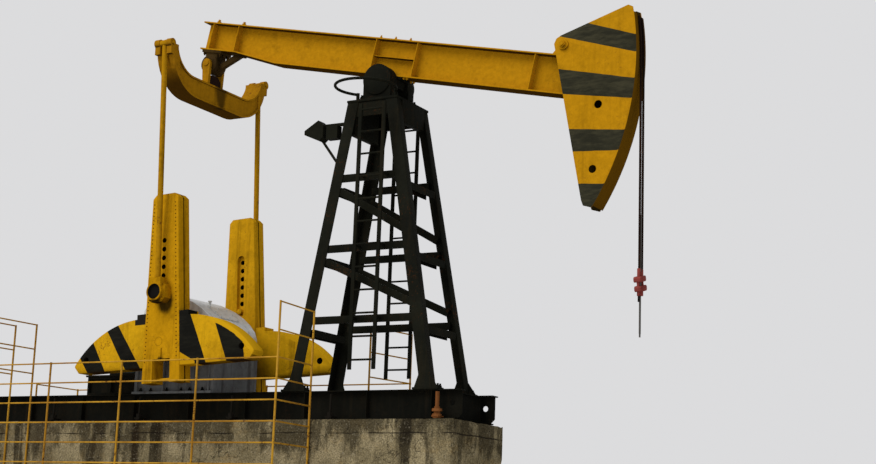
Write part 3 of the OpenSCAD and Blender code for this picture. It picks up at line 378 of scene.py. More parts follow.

# %% [markdown]
# One function makes every paint of the machine, so that they all age alike. It lays the
# black bands first, then a painted shade on the faces that look down, then the marks of
# the one casting, and the grease last.

# %% One function for every paint
IRON_RUST = rgb(0.120, 0.038, 0.010)
BLACK_GREASE = rgb(0.010, 0.0075, 0.0040)
# The tone of the painted shade on faces that look down.
UNDERSIDE_SHADE = rgb(0.034, 0.015, 0.0030)
WORN_BAND = rgb(0.13, 0.075, 0.01)
BAND_ROUGH = rgb(0.62, 0.62, 0.62)


def facing(tree, normal):
    return parts_of(add(tree, "ShaderNodeNewGeometry", out=normal))


def painted(name, paint, faded, dirt=rgb(0.03, 0.022, 0.014), rust_color=IRON_RUST, fade=0.4, dirt_amount=0.4,
            streak=0.4, rust=0.3, gloss=0.5, bump=0.3, distance=0.003, metal=0.0, shine=0.01, frame_matrix=None,
            bands=(), band_side=None, side_only=False, band_color=rgb(0.0100, 0.0098, 0.0080),
            chalk_color=rgb(0.019, 0.018, 0.013), under=0.0, marks=None, patches=(), grease=0.9, run=0.45):
    material, shader, where = new_material(name)
    tree = material.node_tree
    local = in_frame(where, frame_matrix) if frame_matrix else where
    color, rough, height = [Flow(s) for s in add_node(tree, "ShaderNodeGroup", {
        "Vector": where, "Paint": paint, "Faded": faded, "Dirt": dirt, "Rust": rust_color, "Fade Amount": fade,
        "Dirt Amount": dirt_amount, "Streak Amount": streak, "Rust Amount": rust, "Gloss": gloss},
        node_tree=WEATHERED).outputs]
    if bands:
        mask = painted_bands(local, bands)
        if band_side:
            mask = mask * ramp(parts_of(where)[1] * -1.0, band_side, band_side + 0.004)
        if side_only:
            mask = mask * ramp(abs(facing(tree, "True Normal")[1]), 0.5, 0.6)
        chalk = ramp(cloud(local, 2.0, 7, (1.2, 1.2, 5.0), 0.7), 0.40, 0.68)
        worn = ramp(cloud(local, 1.0, 8, (3.2, 3.2, 16.0), 0.72), 0.66, 0.78)
        black = lay_over(mix(chalk * 0.85, band_color, chalk_color), [(worn, 0.35, WORN_BAND)])
        color, rough = mix(mask, color, black), mix(mask, rough, BAND_ROUGH)
    # Faces that look down take a painted shade, as much as the share under says.
    layers = [(ramp(facing(tree, "Normal")[2] * -1.0, 0.25, 0.8), under, UNDERSIDE_SHADE)] if under else []
    layers += marks(where, local) if marks else []
    for center, radius in patches:
        patch = {"Vector": where, "Center": center, "Radius": radius, "Run": run}
        layers.append((add(tree, "ShaderNodeGroup", patch, node_tree=GREASE), grease, BLACK_GREASE))
    finish_surface(shader, lay_over(color, layers), rough, height, bump, distance, metal, shine)
    return material


print("paint function ready")

# %% [markdown]
# The bands are given by points of their edges: those of the head round the beam's pivot,
# those of the weights in the cranks' frame. The marks are spots that only one casting has:
# the hollow of the head, the slot and the spare pin holes of a crank, the recess of a
# bearing cover, and the rim, the wedge and the lifting holes of a weight. The hollow, the
# slot and the holes are painted dark as shade.

# %% Bands and marks of the castings
HEAD_BANDS = [(((3.798, 0.524), (4.606, 0.236)), ((3.301, 0.375), (4.609, -0.046))),
              (((3.249, -0.149), (4.547, -0.450)), ((3.313, -0.568), (4.494, -0.764))),
              (((3.441, -1.152), (4.374, -1.255)), ((3.520, -1.524), (4.253, -1.567))),
              (((3.620, -2.045), (4.021, -2.077)), ((3.620, -3.4), (4.021, -3.4)))]
WEIGHT_BANDS = [(((-1.784, -0.151), (-1.600, -0.426)), ((-1.476, 0.058), (-1.210, -0.438))),
                (((-1.169, 0.236), (-0.752, -0.456)), ((-0.954, 0.348), (-0.428, -0.451))),
                (((0.20, 0.40), (0.20, -0.40)), ((0.617, 0.355), (0.897, -0.336))),
                (((1.064, 0.344), (1.321, -0.354)), ((1.600, 0.344), (1.700, -0.354)))]
WRIST_REACH = 0.822
HOLE_PITCH = 0.153
SPARE_HOLES = 6
WIDER = 1.12
LIFTING_HOLES = ((1.645, -1.0), (1.725, 1.0))
WEIGHT_YELLOW = rgb(0.64, 0.345, 0.0080)


def head_marks(where, local):
    """The hollow between the side plates gets painted shade, and the rope face is brown with old grease."""
    x, y, z = parts_of(local)
    reach = reach_of(x, z)
    outer = ramp(reach, 4.552, 4.556)
    greased = inside(y, 0.085, 0.035) * ramp(z, -0.5, 0.5)
    # The first tone is painted shade in the hollow between the side plates.
    return [(inside(y, 0.1635, 0.0006), 1.0 - ramp(reach, 4.536, 4.538), rgb(0.020, 0.013, 0.004)),
            (outer, 0.88, rgb(0.085, 0.038, 0.0030)), (outer, greased * 0.85, rgb(0.016, 0.010, 0.004))]


def crank_marks(where, local):
    """The clamp slot and the spare pin holes get painted shade, and a brown ring runs round the hub."""
    x, _, z = parts_of(local)
    slot = inside(abs(parts_of(where)[1]) - 1.103, 0.0155)
    up = z - WRIST_REACH
    hole = inside(reach_of(x, (up + HOLE_PITCH / 2) % HOLE_PITCH - HOLE_PITCH / 2), 0.0435, 0.0012)
    first, last = 0.5, SPARE_HOLES + 0.5
    row = (ramp(up, (first - 0.01) * HOLE_PITCH, (first + 0.01) * HOLE_PITCH)
           * (1.0 - ramp(up, (last - 0.01) * HOLE_PITCH, (last + 0.01) * HOLE_PITCH)))
    hub = inside(reach_of(x + 0.064, z - 0.007) - 0.074, 0.005, 0.003)
    # The slot and the spare pin holes are painted near black as shade.
    return [(slot, ramp(abs(x), 0.18, 0.20), rgb(0.012, 0.008, 0.003)), (hub, 0.45, rgb(0.060, 0.028, 0.003)),
            (hole, row, rgb(0.010, 0.007, 0.003))]


def wrist_marks(where, local):
    """The recess of the bearing cover is painted near black."""
    x, y, z = parts_of(local)
    recess = inside(reach_of(x, z - WRIST_REACH), 0.1150 * WIDER, 0.0012)
    return [(recess, ramp(abs(y), 1.440, 1.444), rgb(0.011, 0.010, 0.009))]


def weight_marks(where, local):
    """A rim and a wedge beside the front bands stay yellow, a block by the crank is black, and the lifting holes get
    painted shade.
    """
    x, y, z = parts_of(local)
    rim = ramp(reach_of(x - 0.48, z + 1.35) + cloud(where, 9.0, 4) * 0.03, 1.708, 1.714)
    near = 1.0 - ramp(y, -0.01, 0.0)
    wedge = ramp(0.010 - z - x * 0.552, 0.0, 0.004) * inside(x - 0.535, 0.165)
    block = ramp(z, 0.318, 0.322) * inside(x + 0.470, 0.118)
    found = [(rim, ramp(x, 0.98, 1.0), WEIGHT_YELLOW), (wedge, near, rgb(0.58, 0.300, 0.006)),
             (block, near, rgb(0.020, 0.017, 0.013))]
    # The lifting holes are painted near black on one face, as shade.
    for reach, side in LIFTING_HOLES:
        hole = inside(reach_of(abs(x) - reach, z + 0.2), 0.057, 0.001)
        found.append((hole, ramp(y * side, 0.0, 0.01), rgb(0.012, 0.010, 0.008)))
    return found


print("bands on the head and on a weight:", len(HEAD_BANDS), len(WEIGHT_BANDS))

# %% [markdown]
# The yellow is an old enamel, warm and a little brown, chalky in broad patches and
# greasy under every bearing. The big castings are rougher than the rolled steel of the
# beam, so they get a stronger bump.

# %% Yellow paint for beam, head, cranks, weights and equalizer
# Every yellow takes a painted shade on its faces that look down, by the share under.
YELLOW_ENAMEL = {"paint": rgb(0.500, 0.235, 0.0055), "faded": rgb(0.46, 0.220, 0.0060),
                 "dirt": rgb(0.060, 0.026, 0.0025), "fade": 0.35, "dirt_amount": 0.45, "streak": 0.35,
                 "gloss": 0.42, "distance": 0.004, "shine": 0.0, "under": 0.75}
WRIST = ON_CRANK @ Vector((0, -1.38, WRIST_REACH))


def enamel(name, **changes):
    return painted(name, **{**YELLOW_ENAMEL, **changes})


# The beam takes the strongest painted shade on its undersides.
beam_yellow = enamel("beam_yellow", paint=rgb(0.500, 0.232, 0.0060), dirt_amount=0.4, streak=0.08, rust=0.15,
                     under=0.95, patches=[((TAIL.x + 0.60, 0, TAIL.z - 0.02), 0.20),
                                          ((0.10, 0, PIVOT.z - 0.02), 0.24)], grease=0.8, run=0.2)
head_yellow = enamel("head_yellow", fade=0.30, dirt_amount=0.25, streak=0.18, rust=0.15, bands=HEAD_BANDS,
                     side_only=True, marks=head_marks, frame_matrix=ON_PIVOT,
                     band_color=rgb(0.026, 0.025, 0.016), chalk_color=rgb(0.058, 0.053, 0.030))
crank_yellow = enamel("crank_yellow", paint=rgb(0.57, 0.280, 0.0050), streak=0.45, rust=0.35, gloss=0.5, bump=0.55,
                      distance=0.006, marks=crank_marks, frame_matrix=ON_CRANK, run=0.75,
                      patches=[((WRIST.x + 0.07, -1.25, WRIST.z - 0.12), 0.20),
                               ((SHAFT.x, -1.25, SHAFT.z - 0.34), 0.10)])
far_crank_yellow = enamel("far_crank_yellow", paint=rgb(0.62, 0.320, 0.0080), dirt_amount=0.35, gloss=0.5, bump=0.5,
                          distance=0.006, marks=crank_marks, frame_matrix=ON_CRANK)
weight_yellow = enamel("weight_yellow", paint=WEIGHT_YELLOW, dirt_amount=0.35, streak=0.4, rust=0.35, gloss=0.55,
                       bump=0.6, distance=0.007, bands=WEIGHT_BANDS, frame_matrix=ON_CRANK, band_side=1.0,
                       marks=weight_marks)
# The equalizer's paint is darker than the beam's, partly with grease and partly as painted shade.
equalizer_yellow = enamel("equalizer_yellow", paint=rgb(0.37, 0.170, 0.0065), dirt_amount=0.6, streak=0.12,
                          gloss=0.45, bump=0.4, under=0.9, grease=0.75, run=0.5,
                          patches=[((TAIL.x + 0.20, 0.06, TAIL.z - 0.46), 0.24)])
pitman_yellow = enamel("pitman_yellow", paint=rgb(0.44, 0.215, 0.0060), streak=0.5, rust=0.4)
wrist_yellow = enamel("wrist_yellow", paint=rgb(0.46, 0.220, 0.0030), dirt_amount=0.6, streak=0.4, rust=0.4, bump=0.5,
                      marks=wrist_marks, frame_matrix=ON_CRANK,
                      patches=[((WRIST.x, -1.40, WRIST.z - 0.17), 0.13)])
print("yellow paints:", len(bpy.data.materials))

# %% [markdown]
# Black paint, rusty iron, silver paint and bare steel follow. The black is nearly a hole
# in the photograph, so its detail lies in the roughness and in small spots of brown rust,
# rather than in its colour.

# %% Black, grey, silver, red and bare metal
FRONT_STUDS_X = 1.2
CARRIER_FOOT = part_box("carrier_bar")[0].z + 0.09


def stud_marks(where, local):
    """Only the front studs are bare and rusty, and the others are black."""
    return [(1.0 - ramp(parts_of(where)[0], FRONT_STUDS_X, FRONT_STUDS_X + 0.1), 1.0, rgb(0.014, 0.012, 0.009))]


def carrier_marks(where, local):
    """The rope end under the carrier is black."""
    return [(1.0 - ramp(parts_of(where)[2], CARRIER_FOOT - 0.01, CARRIER_FOOT + 0.01), 1.0,
             rgb(0.012, 0.009, 0.007))]


tower_black = painted("tower_black", rgb(0.0075, 0.0078, 0.0055), rgb(0.0150, 0.0150, 0.0095),
                      dirt=rgb(0.022, 0.016, 0.008), fade=0.7, dirt_amount=0.35, rust=0.12, gloss=0.6)
skid_black = painted("skid_black", rgb(0.0055, 0.0056, 0.0042), rgb(0.0120, 0.0110, 0.0075),
                     dirt=rgb(0.022, 0.016, 0.009), fade=0.6, rust=0.04, gloss=0.65)
stud_rust = painted("stud_rust", rgb(0.17, 0.060, 0.018), rgb(0.27, 0.105, 0.032), dirt=rgb(0.05, 0.020, 0.008),
                    fade=0.9, dirt_amount=0.6, rust=0.6, gloss=0.75, bump=0.9, marks=stud_marks)
housing_grey = painted("housing_grey", rgb(0.165, 0.172, 0.175), rgb(0.100, 0.102, 0.098),
                       dirt=rgb(0.020, 0.015, 0.010), fade=0.6, dirt_amount=0.6, streak=0.6, rust=0.2, bump=0.5)
cover_silver = painted("cover_silver", rgb(0.62, 0.63, 0.61), rgb(0.50, 0.48, 0.42), dirt=rgb(0.12, 0.10, 0.065),
                       fade=0.5, dirt_amount=0.35, streak=0.35, rust=0.15, gloss=0.38, metal=0.1, shine=0.4)
motor_green = painted("motor_green", rgb(0.030, 0.042, 0.040), rgb(0.050, 0.056, 0.050), fade=0.5)
carrier_red = painted("carrier_red", rgb(0.30, 0.040, 0.036), rgb(0.24, 0.065, 0.050),
                      dirt=rgb(0.030, 0.012, 0.010), fade=0.7, dirt_amount=0.6, marks=carrier_marks)
guard_red = painted("guard_red", rgb(0.16, 0.020, 0.018), rgb(0.12, 0.032, 0.024), fade=0.7, dirt_amount=0.5,
                    rust=0.4)
fence_yellow = painted("fence_yellow", rgb(0.56, 0.300, 0.030), rgb(0.33, 0.150, 0.018),
                       dirt=rgb(0.110, 0.045, 0.010), fade=0.8, dirt_amount=0.6, streak=0.3, rust=0.8, gloss=0.65,
                       rust_color=rgb(0.10, 0.035, 0.012))
oiled_steel = painted("oiled_steel", rgb(0.10, 0.095, 0.085), rgb(0.06, 0.052, 0.044), fade=0.6, dirt_amount=0.6,
                      gloss=0.32, metal=0.8, shine=0.5)
lamp_glass = painted("lamp_glass", rgb(0.045, 0.050, 0.050), rgb(0.090, 0.090, 0.080), fade=0.5, rust=0.0,
                     gloss=0.12, bump=0.05, shine=0.5)
# The tail bearing's dark brown is partly grease and partly painted shade.
bearing_grease_and_shade = painted("bearing_grease_and_shade", rgb(0.060, 0.034, 0.0085), rgb(0.030, 0.018, 0.007),
                         dirt=rgb(0.008, 0.006, 0.004), fade=0.8, dirt_amount=0.9, gloss=0.4, bump=0.7)
rope_steel = painted("rope_steel", rgb(0.013, 0.0070, 0.0050), rgb(0.026, 0.012, 0.0075), fade=0.7,
                     dirt_amount=0.5, gloss=0.6)
edge_mark = painted("edge_mark", rgb(0.090, 0.040, 0.004), rgb(0.16, 0.075, 0.006), fade=0.8, rust=0.8)
print("paints and metals:", len(bpy.data.materials))

# %% [markdown]
# The plinth is old cast concrete. It was poured in two lifts, so a thin dark joint runs a
# quarter of a metre below the top. Water from the top has left dark fans and pale lime,
# and the sand shows as a fine speckle. Cracks come from a Voronoi pattern whose cells
# are far apart, so there are only a few.

# %% Concrete of the plinth
STAINS = [(-4.22, 0.085, 0.93), (-5.06, 0.13, 0.55), (-3.64, 0.12, 0.40), (-6.30, 0.22, 0.30)]
JOINT_DROP = 0.23


def make_concrete():
    material, shader, where = new_material("old_concrete")
    x, _, z = parts_of(where)
    drop = PLINTH_TOP - z
    speck, sand = cloud(where, 46.0, 3, rough=0.6), cloud(where, 150.0, 2)
    fans = cloud(where, 1.0, 7, (2.6, 2.6, 0.9), 0.68)
    stain = 0.0
    for at, half, strength in STAINS:
        off = x - at + (fans - 0.5) * 0.18
        stain = (inside(off, half, 0.05) * strength).math("MAXIMUM", stain)
    broad = ramp(cloud(where, 1.3, 6, rough=0.6), 0.36, 0.66)
    ochre = ramp(cloud(where, 2.3, 7, (1, 1, 1.6), 0.7), 0.50, 0.68)
    lime = ramp(cloud(where, 7.0, 7, rough=0.75), 0.58, 0.70)
    dark = ramp(fans + (1.0 - ramp(drop, 0.02, 0.75)) * 0.16, 0.53, 0.66)
    runs = ramp(cloud(where, 1.0, 5, (1.25, 1.25, 0.09), 0.62), 0.585, 0.635)
    gravel = ramp(cloud(where, 34.0, 5, rough=0.7), 0.56, 0.66)
    holes = ramp(cloud(where, 16.0, 6, (1, 1, 1.5), 0.75), 0.60, 0.66)
    color = lay_over(mix(broad, rgb(0.175, 0.140, 0.075), rgb(0.310, 0.250, 0.140)), [
        (ochre, 0.55, rgb(0.205, 0.135, 0.050)), (lime, 0.35, rgb(0.36, 0.33, 0.26)),
        (dark, 0.80, rgb(0.034, 0.027, 0.015)), (runs, 0.80, rgb(0.014, 0.011, 0.007)),
        (stain, 1.0, rgb(0.020, 0.013, 0.007)), (gravel, 0.30, rgb(0.42, 0.37, 0.26)),
        (holes, 0.65, rgb(0.030, 0.023, 0.013))])
    pits = ramp(cloud(where, 38.0, 2), 0.66, 0.70)
    bend = (cloud(where, 1.6, 4) - 0.5) * 0.07
    joint = 1.0 - ramp(abs(drop + bend - JOINT_DROP), 0.004, 0.014)
    twist = add(where.tree, "ShaderNodeTexNoise", {"Vector": where, "Scale": 2.5, "Detail": 5.0}, "Color")
    cells = add(where.tree, "ShaderNodeTexVoronoi", {"Vector": vectors("ADD", where, {1: twist}), "Scale": 0.75},
                feature="DISTANCE_TO_EDGE")
    lines = ((1.0 - ramp(cells, 0.002, 0.007)) * 0.7).math(
        "MAXIMUM", joint * ramp(cloud(where, 1.9, 5), 0.40, 0.56))
    color = lay_over(mottled(color, speck, 0.52, 1.55), [
        (pits, 0.8, rgb(0.02, 0.016, 0.012)), (lines, 0.85, rgb(0.018, 0.014, 0.010))])
    height = speck * 0.5 + sand * 0.25 - lines * 1.4 - pits * 0.5
    finish_surface(shader, color, sand * 0.1 + 0.86, height, 0.7, 0.012)
    return material


old_concrete = make_concrete()
print("stains on the plinth:", len(STAINS))

# %% [markdown]
# ## A finish for every solid
# Some solids are right as they are and only need their finish. Pieces with rounded or
# chipped edges stand for the others further on, and take the same finish. One table names
# the solids of each finish, so nothing is left with a flat colour.

# %% Finishes on the solids
NODE_FINISH = {
    tower_black: "near_tower_side far_tower_side front_bracing rear_bracing tower_head near_ladder far_ladder "
                 "guard_hoop floodlight saddle_bearings saddle_shaft",
    skid_black: "near_skid_beam far_skid_beam skid_cross_members drive_pedestal motor_stand",
    stud_rust: "anchor_studs", housing_grey: "gearbox_housing", cover_silver: "gearbox_cover",
    motor_green: "motor", guard_red: "belt_guard", carrier_red: "carrier_bar",
    fence_yellow: "near_fence far_fence fence_ends", oiled_steel: "polished_rod",
    rope_steel: "bridle_wrap bridle_ropes", bearing_grease_and_shade: "tail_bearing", beam_yellow: "walking_beam",
    head_yellow: "horsehead head_pin", equalizer_yellow: "equalizer", pitman_yellow: "near_pitman far_pitman",
    wrist_yellow: "near_wrist_bearing far_wrist_bearing", crank_yellow: "near_crank crank_shaft",
    far_crank_yellow: "far_crank", old_concrete: "plinth",
    weight_yellow: "near_front_weight near_rear_weight far_front_weight far_rear_weight"}
FINISH_OF = {node: finish for finish, nodes in NODE_FINISH.items() for node in nodes.split()}
for node, finish in FINISH_OF.items():
    materials = frame["nodes"][node].data.materials
    materials.clear()
    materials.append(finish)
print("finished solids:", len(FINISH_OF))

# %% [markdown]
# ## A block of old concrete
# The solid plinth is a perfect box. Real concrete has lost small bites along its edges,
# so the block is rebuilt as a fine grid and its points are pushed inward only, most near
# the edges. It never grows past the box that the solid gives it.

# %% The plinth as a chipped block
def grid_box(low, high, step):
    """A closed box whose faces are grids of about one step."""
    counts = [max(2, round((high[k] - low[k]) / step)) for k in range(3)]
    bm = bmesh.new()
    corners = {}

    def corner(key):
        if key not in corners:
            corners[key] = bm.verts.new([low[a] + (high[a] - low[a]) * key[a] / counts[a] for a in range(3)])
        return corners[key]

    for axis in range(3):
        u, v = (axis + 1) % 3, (axis + 2) % 3
        for end in (0, counts[axis]):
            for a in range(counts[u]):
                for b in range(counts[v]):
                    ring = []
                    for da, db in ((0, 0), (1, 0), (1, 1), (0, 1)):
                        key = [0, 0, 0]
                        key[axis], key[u], key[v] = end, a + da, b + db
                        ring.append(corner(tuple(key)))
                    bm.faces.new(ring if end else ring[::-1])
    return bm


def object_from(bm, name, material, smooth=False):
    mesh = bpy.data.meshes.new(name)
    bm.normal_update()
    bm.to_mesh(mesh)
    bm.free()
    mesh.materials.append(material)
    if smooth:
        mesh.shade_smooth()
    return put(name, mesh)


def settle(obj, node, instead=False):
    """The piece rides with a solid's body, and may stand for it."""
    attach(obj, BODY_OF[node])
    if instead:
        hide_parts(node)
    return obj


GRID_STEP, EDGE_ZONE, DEEPEST_CHIP = 0.055, 0.10, 0.035


def chipped_plinth():
    low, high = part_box("plinth")
    bm = grid_box(low, high, GRID_STEP)
    middle = (low + high) / 2
    for vert in bm.verts:
        p = vert.co.copy()
        gaps = [min(p[k] - low[k], high[k] - p[k]) for k in range(3)]
        from_edge = sorted(gaps)[1]
        wave = noise.fractal(p * 1.4, 0.6, 2.0, 5)
        bite = max(0.0, noise.fractal(p * 6.0, 0.5, 2.0, 5) * 1.5 - 0.06)
        edge = max(0.0, 1.0 - from_edge / EDGE_ZONE)
        depth = 0.004 + 0.006 * abs(wave) + edge * (0.008 + 0.045 * min(bite, 0.9))
        for k in range(3):
            if gaps[k] < 1e-6 and not (k == 2 and p[k] < middle[k]):
                vert.co[k] += depth if p[k] < middle[k] else -depth
        if from_edge < EDGE_ZONE and p.z > high.z - 0.002:
            vert.co.z = max(vert.co.z, high.z - DEEPEST_CHIP)
    bmesh.ops.recalc_face_normals(bm, faces=bm.faces)
    return object_from(bm, "chipped_plinth", old_concrete, smooth=True)


plinth = settle(chipped_plinth(), "plinth", instead=True)
print("plinth faces:", len(plinth.data.polygons))

# %% [markdown]
# ## Rounded castings
# Castings and rolled sections have no knife edges. Their solids are copied, the loose
# triangles are merged, and each sharp edge gets a small bevel, which catches the light
# like the real one. The guard hoop and the ladders look stouter in the photograph than
# their solids, so their faces are moved out a few millimetres, and the wrist bearings are
# widened about their pins.

# %% Castings with rounded edges
def merged(node):
    bm = bmesh.new()
    bm.from_mesh(frame["nodes"][node].data)
    bmesh.ops.remove_doubles(bm, verts=bm.verts, dist=0.00005)
    return bm


def bake(obj):
    """Keeps only the mesh that an object's modifiers make."""
    bpy.context.view_layer.update()
    mesh = bpy.data.meshes.new_from_object(obj.evaluated_get(bpy.context.evaluated_depsgraph_get()))
    obj.modifiers.clear()
    obj.data = mesh
    return obj


def rounded_copy(node, width):
    bm = merged(node)
    bmesh.ops.dissolve_limit(bm, angle_limit=math.radians(0.6), verts=bm.verts, edges=bm.edges)
    obj = object_from(bm, "rounded_" + node, FINISH_OF[node])
    bevel = obj.modifiers.new("edges", "BEVEL")
    bevel.width, bevel.segments = width, 2
    bevel.limit_method, bevel.angle_limit = "ANGLE", math.radians(38)
    bevel.use_clamp_overlap = True
    bake(obj).data.shade_smooth()
    obj.data.set_sharp_from_angle(angle=math.radians(40))
    return settle(obj, node, instead=True)


def widened(p):
    """A point of a wrist bearing, moved out from the axis of its pin."""
    local = ON_CRANK.inverted() @ p
    return ON_CRANK @ Vector((local.x * WIDER, local.y, WRIST_REACH + (local.z - WRIST_REACH) * WIDER))


def fattened_copy(node, extra):
    """The solid with every face moved out a little, for bars that are thicker in the picture."""
    bm = merged(node)
    bm.normal_update()
    moves = []
    for vert in bm.verts:
        faces = np.array([list(face.normal) for face in vert.link_faces])
        moves.append(np.linalg.lstsq(faces, np.full(len(faces), extra), rcond=0.05)[0])
    for vert, move in zip(bm.verts, moves):
        vert.co += Vector([float(v) for v in move])
    return settle(object_from(bm, "thick_" + node, FINISH_OF[node]), node, instead=True)


EDGE_MM = {"near_crank": 8, "far_crank": 8, "near_front_weight": 12, "near_rear_weight": 12, "far_front_weight": 12,
           "far_rear_weight": 12, "near_wrist_bearing": 10, "far_wrist_bearing": 10, "equalizer": 6,
           "gearbox_housing": 8, "carrier_bar": 6, "gearbox_cover": 8, "walking_beam": 4, "horsehead": 3,
           "head_pin": 4, "tail_bearing": 8, "saddle_bearings": 7, "near_tower_side": 4, "far_tower_side": 4,
           "tower_head": 4, "near_skid_beam": 4, "far_skid_beam": 4, "drive_pedestal": 5, "belt_guard": 6,
           "motor": 4}
THICKER_MM = {"guard_hoop": 9, "near_ladder": 6, "far_ladder": 5}
pieces = [rounded_copy(node, width / 1000) for node, width in EDGE_MM.items()]
pieces += [fattened_copy(node, extra / 1000) for node, extra in THICKER_MM.items()]
for piece in pieces:
    for vert in piece.data.vertices if "wrist" in piece.name else ():
        vert.co = widened(vert.co)
    print(piece.name, "faces:", len(piece.data.polygons))

# %% [markdown]
# ## Two node trees: bolts and rope
# A machine of this size is held by hundreds of bolts. One Geometry Nodes tree turns a
# cloud of points into washers, hexagon nuts and stud ends. Each point carries the
# direction its bolt stands in, and a seeded turn keeps the hexagons from lining up. The
# second tree twists a profile with six strands along a line, which makes a wire rope.

# %% Node trees for bolts and for ropes
FULL_TURN = 6.283


def live(node):
    """The output that a node's data type leaves switched on."""
    return Flow(next(socket for socket in node.outputs if socket.enabled))


def finished(tree, solid, finish):
    solid = add(tree, "GeometryNodeSetMaterial", {"Geometry": solid, "Material": finish})
    return close_group(tree, {"Geometry": solid})


def make_bolted_points():
    tree, i = node_group("bolted_points", "GeometryNodeTree", [
        ("Geometry", "g", None), ("Washer Radius", "f", 0.03), ("Washer Height", "f", 0.005),
        ("Nut Radius", "f", 0.022), ("Nut Height", "f", 0.02), ("Stub Radius", "f", 0.011),
        ("Stub Height", "f", 0.012), ("Seed", "i", 3), ("Finish", "m", None)], [("Geometry", "g")])
    stack = tree.nodes.new("GeometryNodeJoinGeometry")
    for label, sides, base in (("Stub", 12, i["Washer Height"] + i["Nut Height"]),
                               ("Nut", 6, i["Washer Height"]), ("Washer", 18, 0.0)):
        height = i[label + " Height"]
        body = add(tree, "GeometryNodeMeshCylinder", {
            "Vertices": sides, "Radius": i[label + " Radius"], "Depth": height}, "Mesh", fill_type="NGON")
        lift = add(tree, "ShaderNodeCombineXYZ", {2: height * 0.5 + base})
        body = add(tree, "GeometryNodeTransform", {"Geometry": body, "Translation": lift})
        tree.links.new(body.socket, stack.inputs[0])
    axis = live(add_node(tree, "GeometryNodeInputNamedAttribute", {"Name": "axis"}, data_type="FLOAT_VECTOR"))
    stand = add(tree, "FunctionNodeAlignRotationToVector", {"Vector": axis}, axis="Z")
    chance = live(add_node(tree, "FunctionNodeRandomValue", {"Seed": i["Seed"]}, data_type="FLOAT"))
    spin = add(tree, "FunctionNodeAxisAngleToRotation", {"Axis": (0, 0, 1), "Angle": chance * FULL_TURN})
    turned = add(tree, "FunctionNodeRotateRotation", {"Rotation": stand, "Rotate By": spin}, rotation_space="LOCAL")
    points = add(tree, "GeometryNodeMeshToPoints", {"Mesh": i["Geometry"]})
    placed = add(tree, "GeometryNodeInstanceOnPoints", {
        "Points": points, "Instance": Flow(stack.outputs[0]), "Rotation": turned})
    return finished(tree, add(tree, "GeometryNodeRealizeInstances", {"Geometry": placed}), i["Finish"])


def make_twisted_rope():
    tree, i = node_group("twisted_rope", "GeometryNodeTree", [
        ("Geometry", "g", None), ("Rope Radius", "f", 0.014), ("Lay", "f", 0.19), ("Strands", "f", 6.0),
        ("Step", "f", 0.014), ("Finish", "m", None)], [("Geometry", "g")])
    line = add(tree, "GeometryNodeMeshToCurve", {0: i["Geometry"]})
    line = add(tree, "GeometryNodeResampleCurve", {"Curve": line, "Length": i["Step"]}, mode="LENGTH")
    turns = add(tree, "GeometryNodeSplineParameter", out="Length") / i["Lay"]
    line = add(tree, "GeometryNodeSetCurveTilt", {"Curve": line, "Tilt": turns * (2 * math.pi)})
    ring = add(tree, "GeometryNodeCurvePrimitiveCircle", {"Resolution": 36, "Radius": 1.0}, "Curve", mode="RADIUS")
    share = add(tree, "GeometryNodeSplineParameter", out="Factor")
    wave = abs((share * i["Strands"] * math.pi).math("SINE"))
    lobed = vectors("SCALE", add(tree, "GeometryNodeInputPosition"), {3: i["Rope Radius"] * (wave * 0.22 + 0.78)})
    ring = add(tree, "GeometryNodeSetPosition", {"Geometry": ring, "Position": lobed})
    solid = add(tree, "GeometryNodeCurveToMesh", {"Curve": line, "Profile Curve": ring, "Fill Caps": True})
    return finished(tree, add(tree, "GeometryNodeSetShadeSmooth", {"Geometry": solid}), i["Finish"])


def run_tree(obj, tree, values):
    """Runs a node tree on an object with named inputs, and keeps only the finished mesh."""
    modifier = obj.modifiers.new(tree.name, "NODES")
    modifier.node_group = tree
    for item in tree.interface.items_tree:
        if item.in_out == "INPUT" and item.name in values:
            modifier[item.identifier] = values[item.name]
    return bake(obj)


BOLTED, TWISTED = make_bolted_points(), make_twisted_rope()
print("node trees:", BOLTED.name, TWISTED.name)

# %% [markdown]
# ## Seats found by rays
# A bolt must sit on real metal. Each place is given as a point in the air and a
# direction, and the ray from there finds the surface and the way it faces. A place where
# the ray misses is dropped and counted, so a wrong guess shows in the print.

# %% Helpers that seat and place bolts
SEARCH = {}
MISSED = []


def seat(node, origin, direction):
    """Where a ray first meets a solid, and the outward direction there."""
    if node not in SEARCH:
        bm = bmesh.new()
        bm.from_mesh(frame["nodes"][node].data)
        SEARCH[node] = BVHTree.FromBMesh(bm)
        bm.free()
    way = Vector(direction).normalized()
    hit, normal, _, _ = SEARCH[node].ray_cast(Vector(origin), way)
    if hit is None:
        MISSED.append((node, tuple(round(v, 3) for v in origin)))
        return None
    return hit, (normal if normal.dot(way) < 0 else -normal)


def seats(node, places, frame_matrix=None):
    """Seats for many (origin, direction) pairs, given in a leaning frame if one is named."""
    if frame_matrix:
        places = [(frame_matrix @ Vector(p), frame_matrix.to_3x3() @ Vector(d)) for p, d in places]
    found = [seat(node, origin, direction) for origin, direction in places]
    return [spot for spot in found if spot]


def grid(xs, ys, z, way=-Z):
    """Places in rows along Y, one row for each x."""
    return [((x, y, z), way) for x in xs for y in ys]


